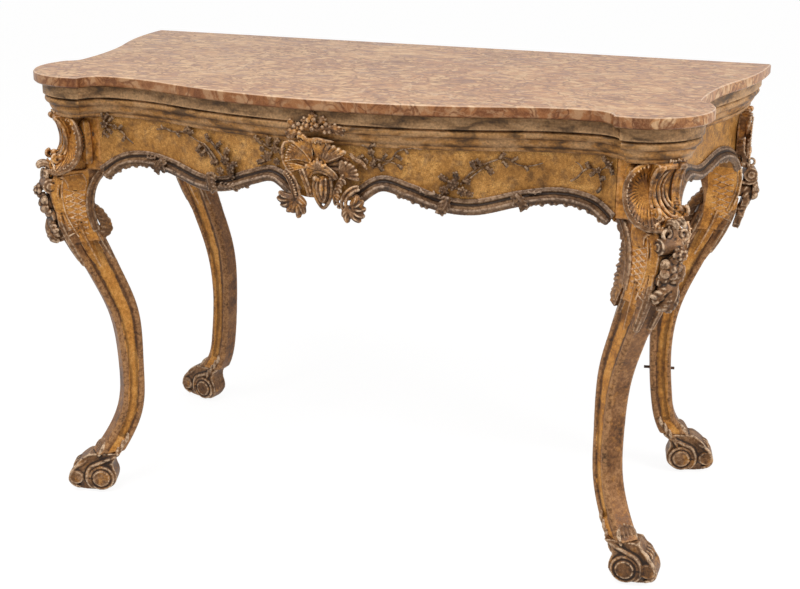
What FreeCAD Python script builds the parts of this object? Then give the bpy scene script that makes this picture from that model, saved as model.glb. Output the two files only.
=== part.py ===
"""Carved and gilt serpentine pier table with a loose marble slab.

Millimetres. X runs along the table, +Y points at the wall behind it, +Z is up.
The origin is on the floor, below the centre of the slab.
"""
import FreeCAD, Part
import math
import os
from FreeCAD import Vector

# Marble slab
slab_width = 1372.0
slab_depth = 692.0
slab_thickness = 20.0
slab_arris = 2.5
table_height = 880.0
front_bow_depth = 81.0        # how far the bowed centre stands forward of the hollows beside it
bow_share = 0.72              # part of the front curve that belongs to the bow, the rest to its hollow
side_hollow_depth = 72.0      # how far the sides sweep in from the back corners to the waist
lobe_radius = 118.0           # round ear at each front corner
front_cavetto_radius = 42.0   # quarter hollow between bow and ear
side_cavetto_radius = 29.0    # quarter hollow between ear and side
front_break_angle = math.radians(239.4)
side_break_angle = math.radians(36.6)

# Frame below the slab
shim_thickness = 3.0
cornice_height = 60.0
fascia_height = 20.0
fascia_inset = 15.0
ovolo_inset = 19.0
cavetto_inset = 33.0
rail_inset = 37.0
rail_thickness = 30.0
rail_drop = 174.0             # lowest reach of the front and side rails below their top edge
back_rail_height = 118.0
back_rail_thickness = 28.0
glue_line = 0.2
tenon_length = 34.0
tenon_thickness = 10.0
tenon_height = 60.0
peg_radius = 4.0
peg_length = 26.0

# Posts and brackets
bracket_width = 56.0
bracket_inset = 80.0          # back of the scroll bracket, in from the slab edge
bracket_height = 106.0
bracket_waist = 45.0          # hollow front of the bracket, in from the slab edge
bracket_lip = 20.0
rear_post_width = 70.0
rear_post_depth = 96.0
rear_flange_depth = 24.0
wing_width = 40.0
wing_thickness = 24.0

# Cabriole legs
leg_width = 44.0
leg_thickness = 45.0
knee_thickness = 63.0
knee_height = 555.0
knee_width = 50.0
knee_set_back = 22.0          # front of a front knee, in from the slab edge
rear_knee_set_back = 38.0
bow_height = 270.0
bow_back = 76.0               # how far the leg bows in from its knee
foot_height = 86.0
foot_width = 44.0
heel_radius = 30.0
heel_back = 18.0              # how far the heel reaches behind the foot's dowel
foot_length = 100.0
right_foot_length = 90.0      # the right front foot is shorter
toe_lift = 8.0
sole_half = 10.0
right_foot_turn = 45.0        # degrees each front foot turns out from the plane of its leg;
left_foot_turn = 24.0         # the two were cut by hand and differ
knee_out = 45.0               # centre of the leg at the knee, out from the post's centre
front_ankle_out = 16.5
rear_ankle_out = 2.0
leg_shift = 13.0              # front legs stand this far inward of the ear's diagonal
rear_splay = 12.0             # degrees the rear legs turn towards the wall
leg_edge_radius = 7.0
channel_rim = 12.0
channel_depth = 4.0
rear_leg_inset_x = 141.0      # centre of a rear post, in from the slab's back corner
rear_leg_inset_y = 52.0
rear_bracket_inset_y = 42.0
dowel_radius = 8.0
dowel_length = 36.0
dowel_out = 12.0              # foot dowel, out from the ankle
repair_pin_radius = 3.0
repair_pin_length = 64.0
repair_pin_height = 231.0

# Moulding and carving
moulding_half = 13.0
moulding_proud = 13.0
bead_half = 6.0
bead_proud = 5.0
comb_tooth = 8.0
comb_thickness = 9.0
comb_aside = 21.0             # the comb of a front leg stands on the rail's side of its knee
long_comb = ((-2, 0.95), (19, 0.757), (27, 0.522), (20, 0.272), (8, 0.051), (-8, -0.184))
short_comb = ((54, 0.60), (40, 0.46), (24, 0.35), (12, 0.206), (9, 0.096), (18, -0.015))
front_flower_proud = 8.0      # knee carvings stand this far off the knee
rear_flower_proud = 14.0
shell_radius = 70.0
shell_ribs = 9
shell_proud = 27.0
cabochon_radius = 17.0
pendant_radius = 24.0
hinge_drop = 103.0            # hinge of the shell, below the frame's top
shell_offset = -13.0
stem_radius = 3.2
rosette_radius = 9.0
hollow_lift = 1.6             # keeps flat-backed carvings clear of the hollow ends of the front rail

# Loose structure under the slab
bearer_width = 60.0
bearer_thickness = 24.0
bearer_spacing = 460.0
shim_length = 60.0
shim_width = 24.0
glue_block = 34.0
slide_clearance = 0.2

# Heights and planes that follow
half_width = slab_width / 2
back_y = slab_depth / 2
front_y = -slab_depth / 2
slab_bottom = table_height - slab_thickness
frame_top = slab_bottom - shim_thickness
cornice_bottom = frame_top - cornice_height
hinge_height = frame_top - hinge_drop
rail_back = rail_inset + rail_thickness
UP = Vector(0, 0, 1)
ORIGIN = Vector(0, 0, 0)
BIG = 4 * slab_width


# ---------------------------------------------------------------- slab outline

class Arc:
    """One arc of the slab's edge. turn is 1 where it bulges out and -1 where it is hollow."""

    def __init__(self, x, y, radius, turn):
        self.x = x
        self.y = y
        self.radius = radius
        self.turn = turn

    def reach(self, inset):
        return self.radius - self.turn * inset

    def at(self, angle, inset=0.0):
        r = self.reach(inset)
        return (self.x + r * math.cos(angle), self.y + r * math.sin(angle))

    def angle_to(self, point):
        return math.atan2(point[1] - self.y, point[0] - self.x)


def place_arcs():
    """Lay the right half of the outline from its sizes, front centre to back corner."""
    side_gap = lobe_radius + 0.8 * side_cavetto_radius
    front_gap = lobe_radius + 0.5 * front_cavetto_radius
    waist_x = half_width - side_hollow_depth
    lobe_x = waist_x + side_cavetto_radius - side_gap * math.cos(side_break_angle)
    hollow_y = front_y + front_bow_depth
    lobe_y = hollow_y - front_cavetto_radius - front_gap * math.sin(front_break_angle)
    lobe = Arc(lobe_x, lobe_y, lobe_radius, 1)
    front_cavetto = Arc(lobe_x + front_gap * math.cos(front_break_angle),
                        lobe_y + front_gap * math.sin(front_break_angle), front_cavetto_radius, -1)
    side_cavetto = Arc(lobe_x + side_gap * math.cos(side_break_angle),
                       lobe_y + side_gap * math.sin(side_break_angle), side_cavetto_radius, -1)
    hollow_x = front_cavetto.x
    both = (hollow_x ** 2 + front_bow_depth ** 2) / (2 * front_bow_depth)
    bow = Arc(0, front_y + bow_share * both, bow_share * both, 1)
    hollow = Arc(hollow_x, hollow_y - (1 - bow_share) * both, (1 - bow_share) * both, -1)
    run = back_y - side_cavetto.y
    side_radius = (run ** 2 + side_hollow_depth ** 2) / (4 * side_hollow_depth)
    waist = Arc(waist_x + side_radius, side_cavetto.y, side_radius, -1)
    haunch = Arc(half_width - side_radius, back_y, side_radius, 1)
    return bow, hollow, front_cavetto, lobe, side_cavetto, waist, haunch


bow, hollow, front_cavetto, lobe, side_cavetto, waist, haunch = place_arcs()


def crossing(first, second, inset, side):
    """Where two arcs of the outline cross, on the chosen side of the line between their centres."""
    r1 = first.reach(inset)
    r2 = second.reach(inset)
    dx = second.x - first.x
    dy = second.y - first.y
    gap = math.hypot(dx, dy)
    along = (r1 ** 2 - r2 ** 2 + gap ** 2) / (2 * gap)
    across = side * math.sqrt(r1 ** 2 - along ** 2)
    return (first.x + (along * dx - across * dy) / gap, first.y + (along * dy + across * dx) / gap)


def front_break(inset=0.0):
    return crossing(front_cavetto, lobe, inset, -1)


def side_break(inset=0.0):
    return crossing(lobe, side_cavetto, inset, -1)


def face_y(x, inset):
    """Y of the front face at a place along it, for any inset from the slab edge."""
    side = abs(x)
    meeting = bow.at(bow.angle_to((hollow.x, hollow.y)), inset)
    if side <= meeting[0]:
        return bow.y - math.sqrt(bow.reach(inset) ** 2 - side ** 2)
    arc = hollow if side <= hollow.x else front_cavetto
    return arc.y + math.sqrt(arc.reach(inset) ** 2 - (side - arc.x) ** 2)


def side_x(y, inset):
    """X of the right face at a place along the depth, for any inset from the slab edge."""
    middle = (waist.y + haunch.y) / 2
    if y < side_cavetto.y:
        return side_cavetto.x - math.sqrt(side_cavetto.reach(inset) ** 2 - (y - side_cavetto.y) ** 2)
    if y < middle:
        return waist.x - math.sqrt(waist.reach(inset) ** 2 - (y - waist.y) ** 2)
    return haunch.x + math.sqrt(haunch.reach(inset) ** 2 - (y - haunch.y) ** 2)


# Joint planes where the rails meet the front posts
joint_x = lobe.x - 31.0
joint_y = lobe.y + 57.0
post_front_y = face_y(joint_x, rail_inset)
post_side_x = side_x(joint_y, rail_inset)
rear_joint_y = back_y - rear_post_depth
rear_leg_x = half_width - rear_leg_inset_x
rear_leg_y = back_y - rear_leg_inset_y
rear_post_inner = half_width - bracket_inset - rear_post_width
diagonal = math.sqrt(0.5)


# ---------------------------------------------------------------- shape helpers

def mirrored(shape):
    """The same piece for the left-hand side."""
    return shape.mirror(ORIGIN, Vector(1, 0, 0))


def chain(start, steps, place):
    """A wire of lines and three-point arcs: each step is (end,) or (middle, end)."""
    edges = []
    here = start
    for step in steps:
        if len(step) == 1:
            edges.append(Part.LineSegment(place(*here), place(*step[0])).toShape())
        else:
            edges.append(Part.Arc(place(*here), place(*step[0]), place(*step[1])).toShape())
        here = step[-1]
    return Part.Wire(edges)


def flat(a, b):
    return Vector(a, b, 0)


def standing(face, width):
    """Thicken a profile drawn flat and stand it up, centred on the XZ plane."""
    solid = face.extrude(Vector(0, 0, width))
    solid.rotate(ORIGIN, Vector(1, 0, 0), 90)
    solid.translate(Vector(0, width / 2, 0))
    return solid


def ribbon(stations):
    """A flat band along a smooth curve. Each station is (a, b, half width)."""
    spine = Part.BSplineCurve()
    spine.interpolate([flat(a, b) for a, b, half in stations])
    left = []
    right = []
    for a, b, half in stations:
        along = spine.tangent(spine.parameter(flat(a, b)))[0]
        normal = Vector(-along.y, along.x, 0).normalize()
        left.append(flat(a, b) + normal * half)
        right.append(flat(a, b) - normal * half)
    left_edge = Part.BSplineCurve()
    left_edge.interpolate(left)
    right_edge = Part.BSplineCurve()
    right_edge.interpolate(right)
    ends = [Part.LineSegment(left[-1], right[-1]).toShape(), Part.LineSegment(right[0], left[0]).toShape()]
    return Part.Face(Part.Wire([left_edge.toShape(), ends[0], right_edge.toShape(), ends[1]]))


def swept(arc, start, sweep, profile):
    """Sweep a profile of (inset, z) steps round one arc of the outline, from an angle by a turn."""
    def place(inset, z):
        x, y = arc.at(start, inset)
        return Vector(x, y, z)
    face = Part.Face(chain(profile[0], profile[1], place))
    return face.revolve(Vector(arc.x, arc.y, 0), UP, math.degrees(sweep))


def band(near, far, low, high):
    """A plain rectangular profile between two insets and two heights."""
    return ((near, low), [((far, low),), ((far, high),), ((near, high),), ((near, low),)])


def front_run(profile):
    """Sweep a profile along the whole front between the ears, a little past both breaks."""
    meet = bow.angle_to((hollow.x, hollow.y))
    half = meet + math.pi / 2
    pieces = [swept(bow, -math.pi / 2 - half, 2 * half, profile)]
    right = swept(hollow, math.pi / 2, meet + math.pi - math.pi / 2, profile)
    end = math.radians(-25)
    right = right.fuse(swept(front_cavetto, end, math.pi / 2 - end, profile))
    pieces += [right, mirrored(right)]
    return pieces[0].fuse(pieces[1:])


def side_run(profile):
    """Sweep a profile along the right side, from past the ear's break to the back plane."""
    turn = waist.angle_to((haunch.x, haunch.y))
    bend = swept(waist, turn, math.pi - turn, profile)
    rear = swept(haunch, turn - math.pi, math.pi - turn, profile)
    start = math.radians(180)
    hook = swept(side_cavetto, start, math.radians(115), profile)
    return bend.fuse([rear, hook])


def half_space(point, direction, side):
    """A large block on one side of the upright plane through a point."""
    block = Part.makeBox(BIG, BIG, BIG, Vector(-BIG / 2, 0 if side > 0 else -BIG, -BIG / 2))
    block.rotate(ORIGIN, UP, math.degrees(math.atan2(direction[1], direction[0])))
    block.translate(Vector(point[0], point[1], 0))
    return block


def beyond_break(break_at, side):
    """The space on one side of the mitre where two runs of cornice meet."""
    outer = break_at(0.0)
    inner = break_at(rail_back)
    return half_space(outer, (inner[0] - outer[0], inner[1] - outer[1]), side)


def on_plane(shape, point, outward):
    """Set a carving, drawn facing +Z with its top at +Y, against an upright face."""
    outward = Vector(*outward).normalize()
    turn = FreeCAD.Rotation(UP.cross(outward), UP, outward, "ZYX")
    placed = shape.copy()
    placed.Placement = FreeCAD.Placement(Vector(*point), turn).multiply(placed.Placement)
    return placed


def on_front(shape, x, z, lift=glue_line):
    """Set a carving on the front rail at a place along it."""
    step = 1.0
    slope = (face_y(x + step, rail_inset) - face_y(x - step, rail_inset)) / (2 * step)
    normal = Vector(slope, -1, 0).normalize()
    foot = Vector(x, face_y(x, rail_inset), z) + normal * lift
    return on_plane(shape, foot, normal)


def at_corner(shape, x, y, degrees):
    """Turn a piece drawn along local +X about the upright axis and carry it to its corner."""
    placed = shape.copy()
    placed.rotate(ORIGIN, UP, degrees)
    placed.translate(Vector(x, y, 0))
    return placed


def at_front_corner(shape):
    return at_corner(shape, lobe.x, lobe.y, -45)


def at_front_leg(shape):
    return at_corner(shape, lobe.x - leg_shift * diagonal, lobe.y - leg_shift * diagonal, -45)


def at_rear_corner(shape):
    return at_corner(shape, rear_leg_x, back_y - rear_bracket_inset_y, 0)


def at_rear_leg(shape):
    return at_corner(shape, rear_leg_x, rear_leg_y, rear_splay)


def at_front_foot(shape, turn=0.0):
    return at_front_leg(at_corner(shape, front_ankle_out + dowel_out, 0, turn))


def at_rear_foot(shape):
    return at_rear_leg(at_corner(shape, rear_ankle_out + dowel_out, 0, 0))


def merge(shapes):
    """Fuse overlapping carvings into one solid."""
    if len(shapes) == 1:
        return shapes[0]
    return shapes[0].fuse(shapes[1:])


def group(shapes):
    """Separate solids kept together in one node."""
    return Part.makeCompound(shapes)


def box(x0, x1, y0, y1, z0, z1):
    return Part.makeBox(x1 - x0, y1 - y0, z1 - z0, Vector(x0, y0, z0))


# ---------------------------------------------------------------- slab

def marble_top():
    """One slab with a bowed front, round corner ears and hollow sides."""
    meet = bow.angle_to((hollow.x, hollow.y))
    corners = [bow.at(-math.pi / 2), bow.at(meet), hollow.at(math.pi / 2), front_break(), side_break(),
               side_cavetto.at(math.pi), waist.at(waist.angle_to((haunch.x, haunch.y))), haunch.at(0)]
    edges = []
    for arc, start, end in zip(place_arcs(), corners, corners[1:]):
        first = arc.angle_to(start)
        last = arc.angle_to(end)
        if arc.turn < 0 and last > first:
            first += 2 * math.pi
        middle = arc.at((first + last) / 2)
        edges.append(Part.Arc(flat(*start), flat(*middle), flat(*end)).toShape())
    left = [edge.mirror(ORIGIN, Vector(1, 0, 0)) for edge in edges]
    back = Part.LineSegment(flat(*corners[-1]), flat(-corners[-1][0], corners[-1][1])).toShape()
    outline = Part.Wire(Part.__sortEdges__(edges + [back] + left))
    slab = Part.Face(outline).extrude(UP * slab_thickness)
    slab.translate(UP * slab_bottom)
    rims = [edge for edge in slab.Edges if edge.BoundBox.ZLength < 0.1]
    return slab.makeChamfer(slab_arris, rims)


# ---------------------------------------------------------------- cornice

def cornice_profile():
    """Plain fascia, quirk, ovolo, cavetto and bottom fillet, as (inset, z) steps."""
    fascia_low = frame_top - fascia_height
    ovolo_low = fascia_low - 17
    foot = cornice_bottom + 5
    steps = [
        ((fascia_inset, fascia_low),),
        ((ovolo_inset + 4, fascia_low),),
        ((ovolo_inset + 4, fascia_low - 3),),
        ((ovolo_inset - 1, fascia_low - 9), (ovolo_inset + 3, ovolo_low)),
        ((ovolo_inset + 6, ovolo_low),),
        ((ovolo_inset + 9, (ovolo_low + foot) / 2 - 2), (cavetto_inset, foot)),
        ((cavetto_inset, cornice_bottom),),
        ((rail_inset - glue_line, cornice_bottom),),
        ((rail_inset - glue_line, frame_top),),
        ((fascia_inset, frame_top),),
    ]
    return (fascia_inset, frame_top), steps


def front_cornice():
    run = front_run(cornice_profile())
    cutter = beyond_break(front_break, -1)
    return run.cut([cutter, mirrored(cutter)])


def corner_cornice():
    """The ring of cornice round a front ear, mitred to its neighbours."""
    spare = math.radians(40)
    first = lobe.angle_to(front_break(rail_back)) - spare
    last = lobe.angle_to(side_break(rail_back)) + spare
    ring = swept(lobe, first, last - first, cornice_profile())
    return ring.cut([beyond_break(front_break, 1), beyond_break(side_break, -1)])


def side_cornice():
    return side_run(cornice_profile()).cut(beyond_break(side_break, 1))


# ---------------------------------------------------------------- rails

def front_path():
    """Serpentine lower edge of the front rail, from the centre to the post, as (x, z)."""
    along = [0.105, 0.20, 0.30, 0.41, 0.525, 0.67, 0.80, 0.91, 1.0]
    below = [157, 124, 135, 154, 159, 143, 135, 144, 172]
    return [(share * joint_x, frame_top - drop) for share, drop in zip(along, below)]


def side_path():
    """Double arch of the side rail's lower edge, from front post to rear post, as (y, z)."""
    along = [0, 0.10, 0.27, 0.50, 0.73, 0.90, 1.0]
    below = [172, 140, 124, 141, 124, 140, 172]
    length = rear_joint_y - joint_y
    return [(joint_y + share * length, frame_top - drop) for share, drop in zip(along, below)]


def below_curve(points, depth):
    """Flat face filling the space under a curve."""
    curve = Part.BSplineCurve()
    curve.interpolate([flat(a, b) for a, b in points])
    low = frame_top - depth - 200
    edges = [curve.toShape()]
    corners = [flat(*points[-1]), flat(points[-1][0], low), flat(points[0][0], low), flat(*points[0])]
    edges += [Part.LineSegment(p, q).toShape() for p, q in zip(corners, corners[1:])]
    return Part.Face(Part.Wire(edges))


def front_rail():
    """Bowed board, shaped below, with a tenon at each end and pockets for the bearers."""
    board = front_run(band(rail_inset, rail_back, frame_top - rail_drop, frame_top))
    board = board.common(box(-joint_x, joint_x, -BIG, BIG, 0, table_height))
    path = front_path()
    points = [(-x, z) for x, z in reversed(path)] + [(0, frame_top - 158)] + path
    waste = standing(below_curve(points, rail_drop), BIG)
    board = board.cut(waste)
    board = board.fuse([front_tenon(0), mirrored(front_tenon(0))])
    peg = front_peg(slide_clearance)
    return board.cut(bearers(slide_clearance) + [peg, mirrored(peg)])


def front_tenon(play):
    """Tenon of the front rail in the right-hand post, or its mortise when given play."""
    middle = post_front_y + rail_thickness / 2
    low = cornice_bottom - tenon_height
    half = tenon_thickness / 2 + play
    return box(joint_x - glue_line, joint_x + tenon_length + play, middle - half, middle + half,
               low - play, cornice_bottom - 12 + play)


def side_tenon(play):
    """Tenon of the side rail in the front post, or its mortise."""
    middle = post_side_x - rail_thickness / 2
    low = cornice_bottom - tenon_height
    half = tenon_thickness / 2 + play
    return box(middle - half, middle + half, joint_y - tenon_length - play, joint_y + glue_line,
               low - play, cornice_bottom - 12 + play)


def rear_side_tenon(play):
    """Tenon of the side rail in the rear post, or its mortise."""
    middle = side_x(rear_joint_y, rail_inset) - rail_thickness / 2
    low = cornice_bottom - tenon_height
    half = tenon_thickness / 2 + play
    reach = rear_flange_depth - 6
    return box(middle - half, middle + half, rear_joint_y - glue_line, rear_joint_y + reach + play,
               low - play, cornice_bottom - 12 + play)


def back_tenon(play):
    """Tenon of the back rail in a rear post, or its mortise."""
    middle = back_y - back_rail_thickness / 2
    low = cornice_bottom - tenon_height
    half = tenon_thickness / 2 + play
    start = rear_post_inner
    return box(start - glue_line, start + tenon_length + play, middle - half, middle + half,
               low - play, cornice_bottom - 12 + play)


def side_rail():
    """Hollow-sided board from front post to rear post, shaped below."""
    board = side_run(band(rail_inset, rail_back, frame_top - rail_drop, frame_top))
    board = board.common(box(0, BIG, joint_y, rear_joint_y, 0, table_height))
    waste = below_curve(side_path(), rail_drop).extrude(UP * BIG)
    waste.rotate(ORIGIN, Vector(1, 0, 0), 90)
    waste.rotate(ORIGIN, UP, 90)
    board = board.cut(waste)
    return board.fuse([side_tenon(0), rear_side_tenon(0)]).cut(side_peg(slide_clearance))


def back_rail():
    """Plain board against the wall, between the rear posts."""
    end = rear_post_inner
    board = box(-end, end, back_y - back_rail_thickness, back_y, frame_top - back_rail_height, frame_top)
    board = board.fuse([back_tenon(0), mirrored(back_tenon(0))])
    peg = rear_peg(slide_clearance)
    return board.cut(bearers(slide_clearance) + [peg, mirrored(peg)])


def bearers(play=0.0):
    """Two battens from front to back under the slab, housed in both rails."""
    housing = 12.0
    battens = []
    for x in (-bearer_spacing / 2, bearer_spacing / 2):
        front = face_y(abs(x) + bearer_width / 2, rail_back) - housing
        back = back_y - back_rail_thickness + housing
        battens.append(box(x - bearer_width / 2 - play, x + bearer_width / 2 + play, front - play, back + play,
                           frame_top - bearer_thickness - play, frame_top + play))
    return battens


# ---------------------------------------------------------------- posts, legs and feet

def leg_stations(ankle_out, margin=0.0, start=0):
    """Centre line of a leg as (out, up, half thickness) from ankle to knee."""
    half = leg_thickness / 2 - margin
    waist_out = knee_out - bow_back
    low = foot_height
    rise = knee_height - bow_height
    fall = bow_height - low
    stations = [
        (ankle_out + 23, low - 16, half + 1.5),
        (ankle_out - 13, low + 0.17 * fall, half),
        (waist_out + 8, low + 0.47 * fall, half),
        (waist_out, bow_height, half),
        (waist_out + 10.5, bow_height + 0.42 * rise, half + 5),
        (waist_out + 40, bow_height + 0.70 * rise, half + 7),
        (knee_out, knee_height, knee_thickness / 2 - margin),
        (knee_out + 13, knee_height + 30, knee_thickness / 2 - margin),
    ]
    return stations[start:]


def knee_outline(post_out, knee_front):
    """Profile of the knee, from the top of the leg to the foot of the post."""
    top = cornice_bottom - bracket_height
    inner = -12
    low = knee_height - 8
    back = knee_out - knee_thickness / 2 - 1
    front = knee_out + knee_thickness / 2 + 1
    return Part.Face(chain((back, low), [
        ((front, low),),
        ((knee_front - 6, low + 0.333 * (top - low)), (knee_front, low + 0.646 * (top - low))),
        ((knee_front - 10, top),),
        ((post_out, top),),
        ((inner, top),),
        ((inner + 13 + 0.2 * (top - low), low + 0.6 * (top - low)), (back, low)),
    ], flat))


def leg(post_out, knee_front, ankle_out):
    """Cabriole leg with channelled flanks and a swelling knee, standing along local +X."""
    blank = standing(ribbon(leg_stations(ankle_out)), leg_width)
    long_edges = [edge for edge in blank.Edges if edge.Length > knee_height * 0.6]
    blank = blank.makeFillet(leg_edge_radius, long_edges)
    channel = standing(ribbon(leg_stations(ankle_out, channel_rim, 1)), channel_depth * 2)
    for side in (-1, 1):
        groove = channel.copy()
        groove.translate(Vector(0, side * leg_width / 2, 0))
        blank = blank.cut(groove)
    blank = blank.cut(box(-BIG, BIG, -BIG, BIG, -BIG, foot_height))
    return blank.fuse(standing(knee_outline(post_out, knee_front), knee_width))


def front_post():
    """Square block with its outer corner cut back for the scroll bracket."""
    low = cornice_bottom - bracket_height
    face = lobe_radius - bracket_inset
    cut = diagonal * ((post_side_x - lobe.x + lobe.y - post_front_y) * diagonal - face) * 2
    outline = [(joint_x, post_front_y), (post_side_x - cut, post_front_y), (post_side_x, post_front_y + cut),
               (post_side_x, joint_y), (joint_x, joint_y)]
    base = Part.Face(Part.makePolygon([Vector(x, y, low) for x, y in outline + outline[:1]]))
    return base.extrude(UP * (cornice_bottom - low))


def rear_post():
    """Block at the back corner, full width behind the side rail and stepped for the bracket."""
    inner = rear_post_inner
    outer = side_x(rear_joint_y, rail_inset)
    face = half_width - bracket_inset
    step = rear_joint_y + rear_flange_depth
    outline = [(inner, rear_joint_y), (outer, rear_joint_y), (outer, step), (face, step), (face, back_y),
               (inner, back_y)]
    base = [Vector(x, y, cornice_bottom - bracket_height) for x, y in outline + outline[:1]]
    return Part.Face(Part.makePolygon(base)).extrude(UP * (frame_top - cornice_bottom + bracket_height))


def beside_post():
    """The space that belongs to the front rail, next to a front post."""
    return box(-BIG, joint_x, -BIG, BIG, frame_top - rail_drop - 1, table_height)


def front_leg():
    limb = at_front_leg(leg(lobe_radius - bracket_inset, lobe_radius - knee_set_back, front_ankle_out))
    limb = limb.cut(beside_post()).fuse(front_post())
    return limb.cut([front_tenon(slide_clearance), side_tenon(slide_clearance),
                     at_front_foot(foot_dowel(slide_clearance)), front_peg(slide_clearance),
                     side_peg(slide_clearance)])


def rear_leg():
    edge = rear_leg_inset_x
    limb = at_rear_leg(leg(edge - bracket_inset, edge - rear_knee_set_back, rear_ankle_out))
    limb = limb.fuse(rear_post())
    return limb.cut([rear_side_tenon(slide_clearance), back_tenon(slide_clearance),
                     at_rear_foot(foot_dowel(slide_clearance)), rear_peg(slide_clearance)])


def foot_dowel(play=0.0):
    """Upright dowel that joins the scroll foot to its leg."""
    return Part.makeCylinder(dowel_radius + play, dowel_length + 2 * play,
                             Vector(0, 0, foot_height - dowel_length / 2 - play))


def foot(length=foot_length):
    """Scroll foot about its dowel: heel volute with bosses, narrow sole and lifted, rolled toe."""
    heel_x = heel_radius - heel_back
    toe = length - heel_back
    back = -heel_back - 13
    outline = Part.Face(chain((back, foot_height), [
        ((back + 16, foot_height - 14), (back + 16, heel_radius + 18)),
        ((-heel_back, heel_radius), (heel_x, 0)),
        ((toe - 50, 0),),
        ((toe - 29, toe_lift * 0.3), (toe - 10, toe_lift)),
        ((toe, toe_lift + 24), (toe - 8, foot_height - 38)),
        ((toe - 24, foot_height - 16), (foot_length - 64, foot_height)),
        ((back, foot_height),),
    ], flat))
    half = foot_width / 2
    block = standing(outline, foot_width)
    for side in (-1, 1):
        corners = [(side * sole_half, 0), (side * (half + 1), 0), (side * (half + 1), heel_radius)]
        edge = [Vector(-BIG / 2, y, z) for y, z in corners + corners[:1]]
        block = block.cut(Part.Face(Part.makePolygon(edge)).extrude(Vector(BIG, 0, 0)))
    scrolls = []
    for radius, width in ((heel_radius - 7, half + 3), (heel_radius - 15, half + 6)):
        scrolls.append(Part.makeCylinder(radius, 2 * width, Vector(heel_x + 1, -width, heel_radius + 2),
                                         Vector(0, 1, 0)))
    scrolls.append(Part.makeCylinder(13, foot_width + 5, Vector(toe - 16, -half - 2.5, toe_lift + 26),
                                     Vector(0, 1, 0)))
    return block.fuse(scrolls).cut(foot_dowel(slide_clearance))


def corner_block():
    """Glued block on a front post that backs the round corner of the cornice."""
    disc = Part.makeCylinder(lobe_radius - rail_inset, cornice_height, Vector(lobe.x, lobe.y, cornice_bottom))
    quarter = box(joint_x, BIG, -BIG, joint_y, cornice_bottom, frame_top)
    outside = band(0, rail_inset, cornice_bottom, frame_top)
    cutters = [front_run(outside), side_run(outside)]
    return disc.common(quarter).cut(cutters)


def front_peg(play=0.0):
    x = joint_x + tenon_length / 2
    y = post_front_y
    return Part.makeCylinder(peg_radius + play, peg_length, Vector(x, y, cornice_bottom - 36), Vector(0, 1, 0))


def side_peg(play=0.0):
    y = joint_y - tenon_length / 2
    return Part.makeCylinder(peg_radius + play, peg_length, Vector(post_side_x, y, cornice_bottom - 36),
                             Vector(-1, 0, 0))


def rear_peg(play=0.0):
    x = rear_post_inner + tenon_length / 2
    return Part.makeCylinder(peg_radius + play, peg_length, Vector(x, back_y, cornice_bottom - 36),
                             Vector(0, -1, 0))


# ---------------------------------------------------------------- brackets and wings

def bracket(edge):
    """Hollow-fronted scroll bracket below the cornice, set in from the slab edge."""
    back = edge - bracket_inset
    low = cornice_bottom - bracket_height
    top = cornice_bottom
    waist_out = edge - bracket_waist

    def outline(recess):
        return Part.Face(chain((back, low), [
            ((waist_out - 2, low),),
            ((waist_out + bracket_lip - recess, low + 13), (waist_out + 7 - recess, low + 26)),
            ((waist_out - recess, low + 62), (waist_out + 12 - recess, top - 11)),
            ((waist_out + bracket_lip - recess, top - 3), (waist_out + 12 - recess, top)),
            ((back, top),),
            ((back, low),),
        ], flat))

    cheek = bracket_width / 4
    pieces = [standing(outline(5), bracket_width)]
    for side in (-1, 1):
        rim = standing(outline(0), cheek)
        rim.translate(Vector(0, side * (bracket_width - cheek) / 2, 0))
        pieces.append(rim)
    return merge(pieces).common(box(-BIG, BIG, -BIG, BIG, low, top))


def wing():
    """Hollow shell panel with a scalloped rim, drawn facing +Z with its top at +Y."""
    height = bracket_height - 6
    plate = Part.Face(chain((0, 0), [
        ((wing_width * 0.7, 8), (wing_width * 0.9, height * 0.45)),
        ((wing_width * 0.85, height * 0.85), (wing_width * 0.5, height)),
        ((0, height),),
        ((0, 0),),
    ], flat)).extrude(UP * wing_thickness)
    scallops = []
    for step in range(8):
        angle = math.radians(-62 + step * 18)
        x = wing_width * 0.60 * math.cos(angle) + wing_width * 0.27
        y = height * 0.44 * math.sin(angle) + height * 0.47
        scallops.append(Part.makeCylinder(5.5, wing_thickness, Vector(x, y, 0)))
    dish = Part.makeSphere(height * 0.62)
    dish.translate(Vector(wing_width * 0.3, height * 0.5, height * 0.62 + wing_thickness * 0.35))
    return plate.fuse(scallops).cut(dish)


def front_wings():
    """The pair of wings that flank a front bracket, on the rail side and on the end side."""
    low = cornice_bottom - bracket_height + 3
    facing = wing().mirror(ORIGIN, Vector(1, 0, 0))
    facing = on_plane(facing, (joint_x + wing_width + 10, post_front_y - glue_line, low), (0, -1, 0))
    ending = on_plane(wing(), (post_side_x + glue_line, joint_y - wing_width - 10, low), (1, 0, 0))
    return facing, ending


def rear_wing():
    """Wing on the side rail in front of a rear bracket."""
    low = cornice_bottom - bracket_height + 3
    panel = wing().mirror(ORIGIN, Vector(1, 0, 0))
    x = side_x(rear_joint_y, rail_inset) + glue_line
    return on_plane(panel, (x, rear_joint_y + rear_flange_depth, low), (1, 0, 0))


# ---------------------------------------------------------------- mouldings and combs

def front_band(stations, near, far):
    """A shaped strip that follows both a curve in elevation and the bowed face."""
    strip = standing(ribbon(stations), BIG)
    run = front_run(band(near, far, frame_top - rail_drop - 40, frame_top))
    return run.common(strip)


def front_moulding():
    """Right-hand serpentine moulding with a raised bead along its middle."""
    path = [(x, z, moulding_half) for x, z in front_path()]
    near = rail_inset - moulding_proud
    flat_part = front_band(path, near, rail_inset - glue_line)
    core = [(x, z, bead_half) for x, z in front_path()]
    raised = front_band(core, near - bead_proud, near)
    return flat_part.fuse(raised).cut(beyond_joint())


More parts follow.
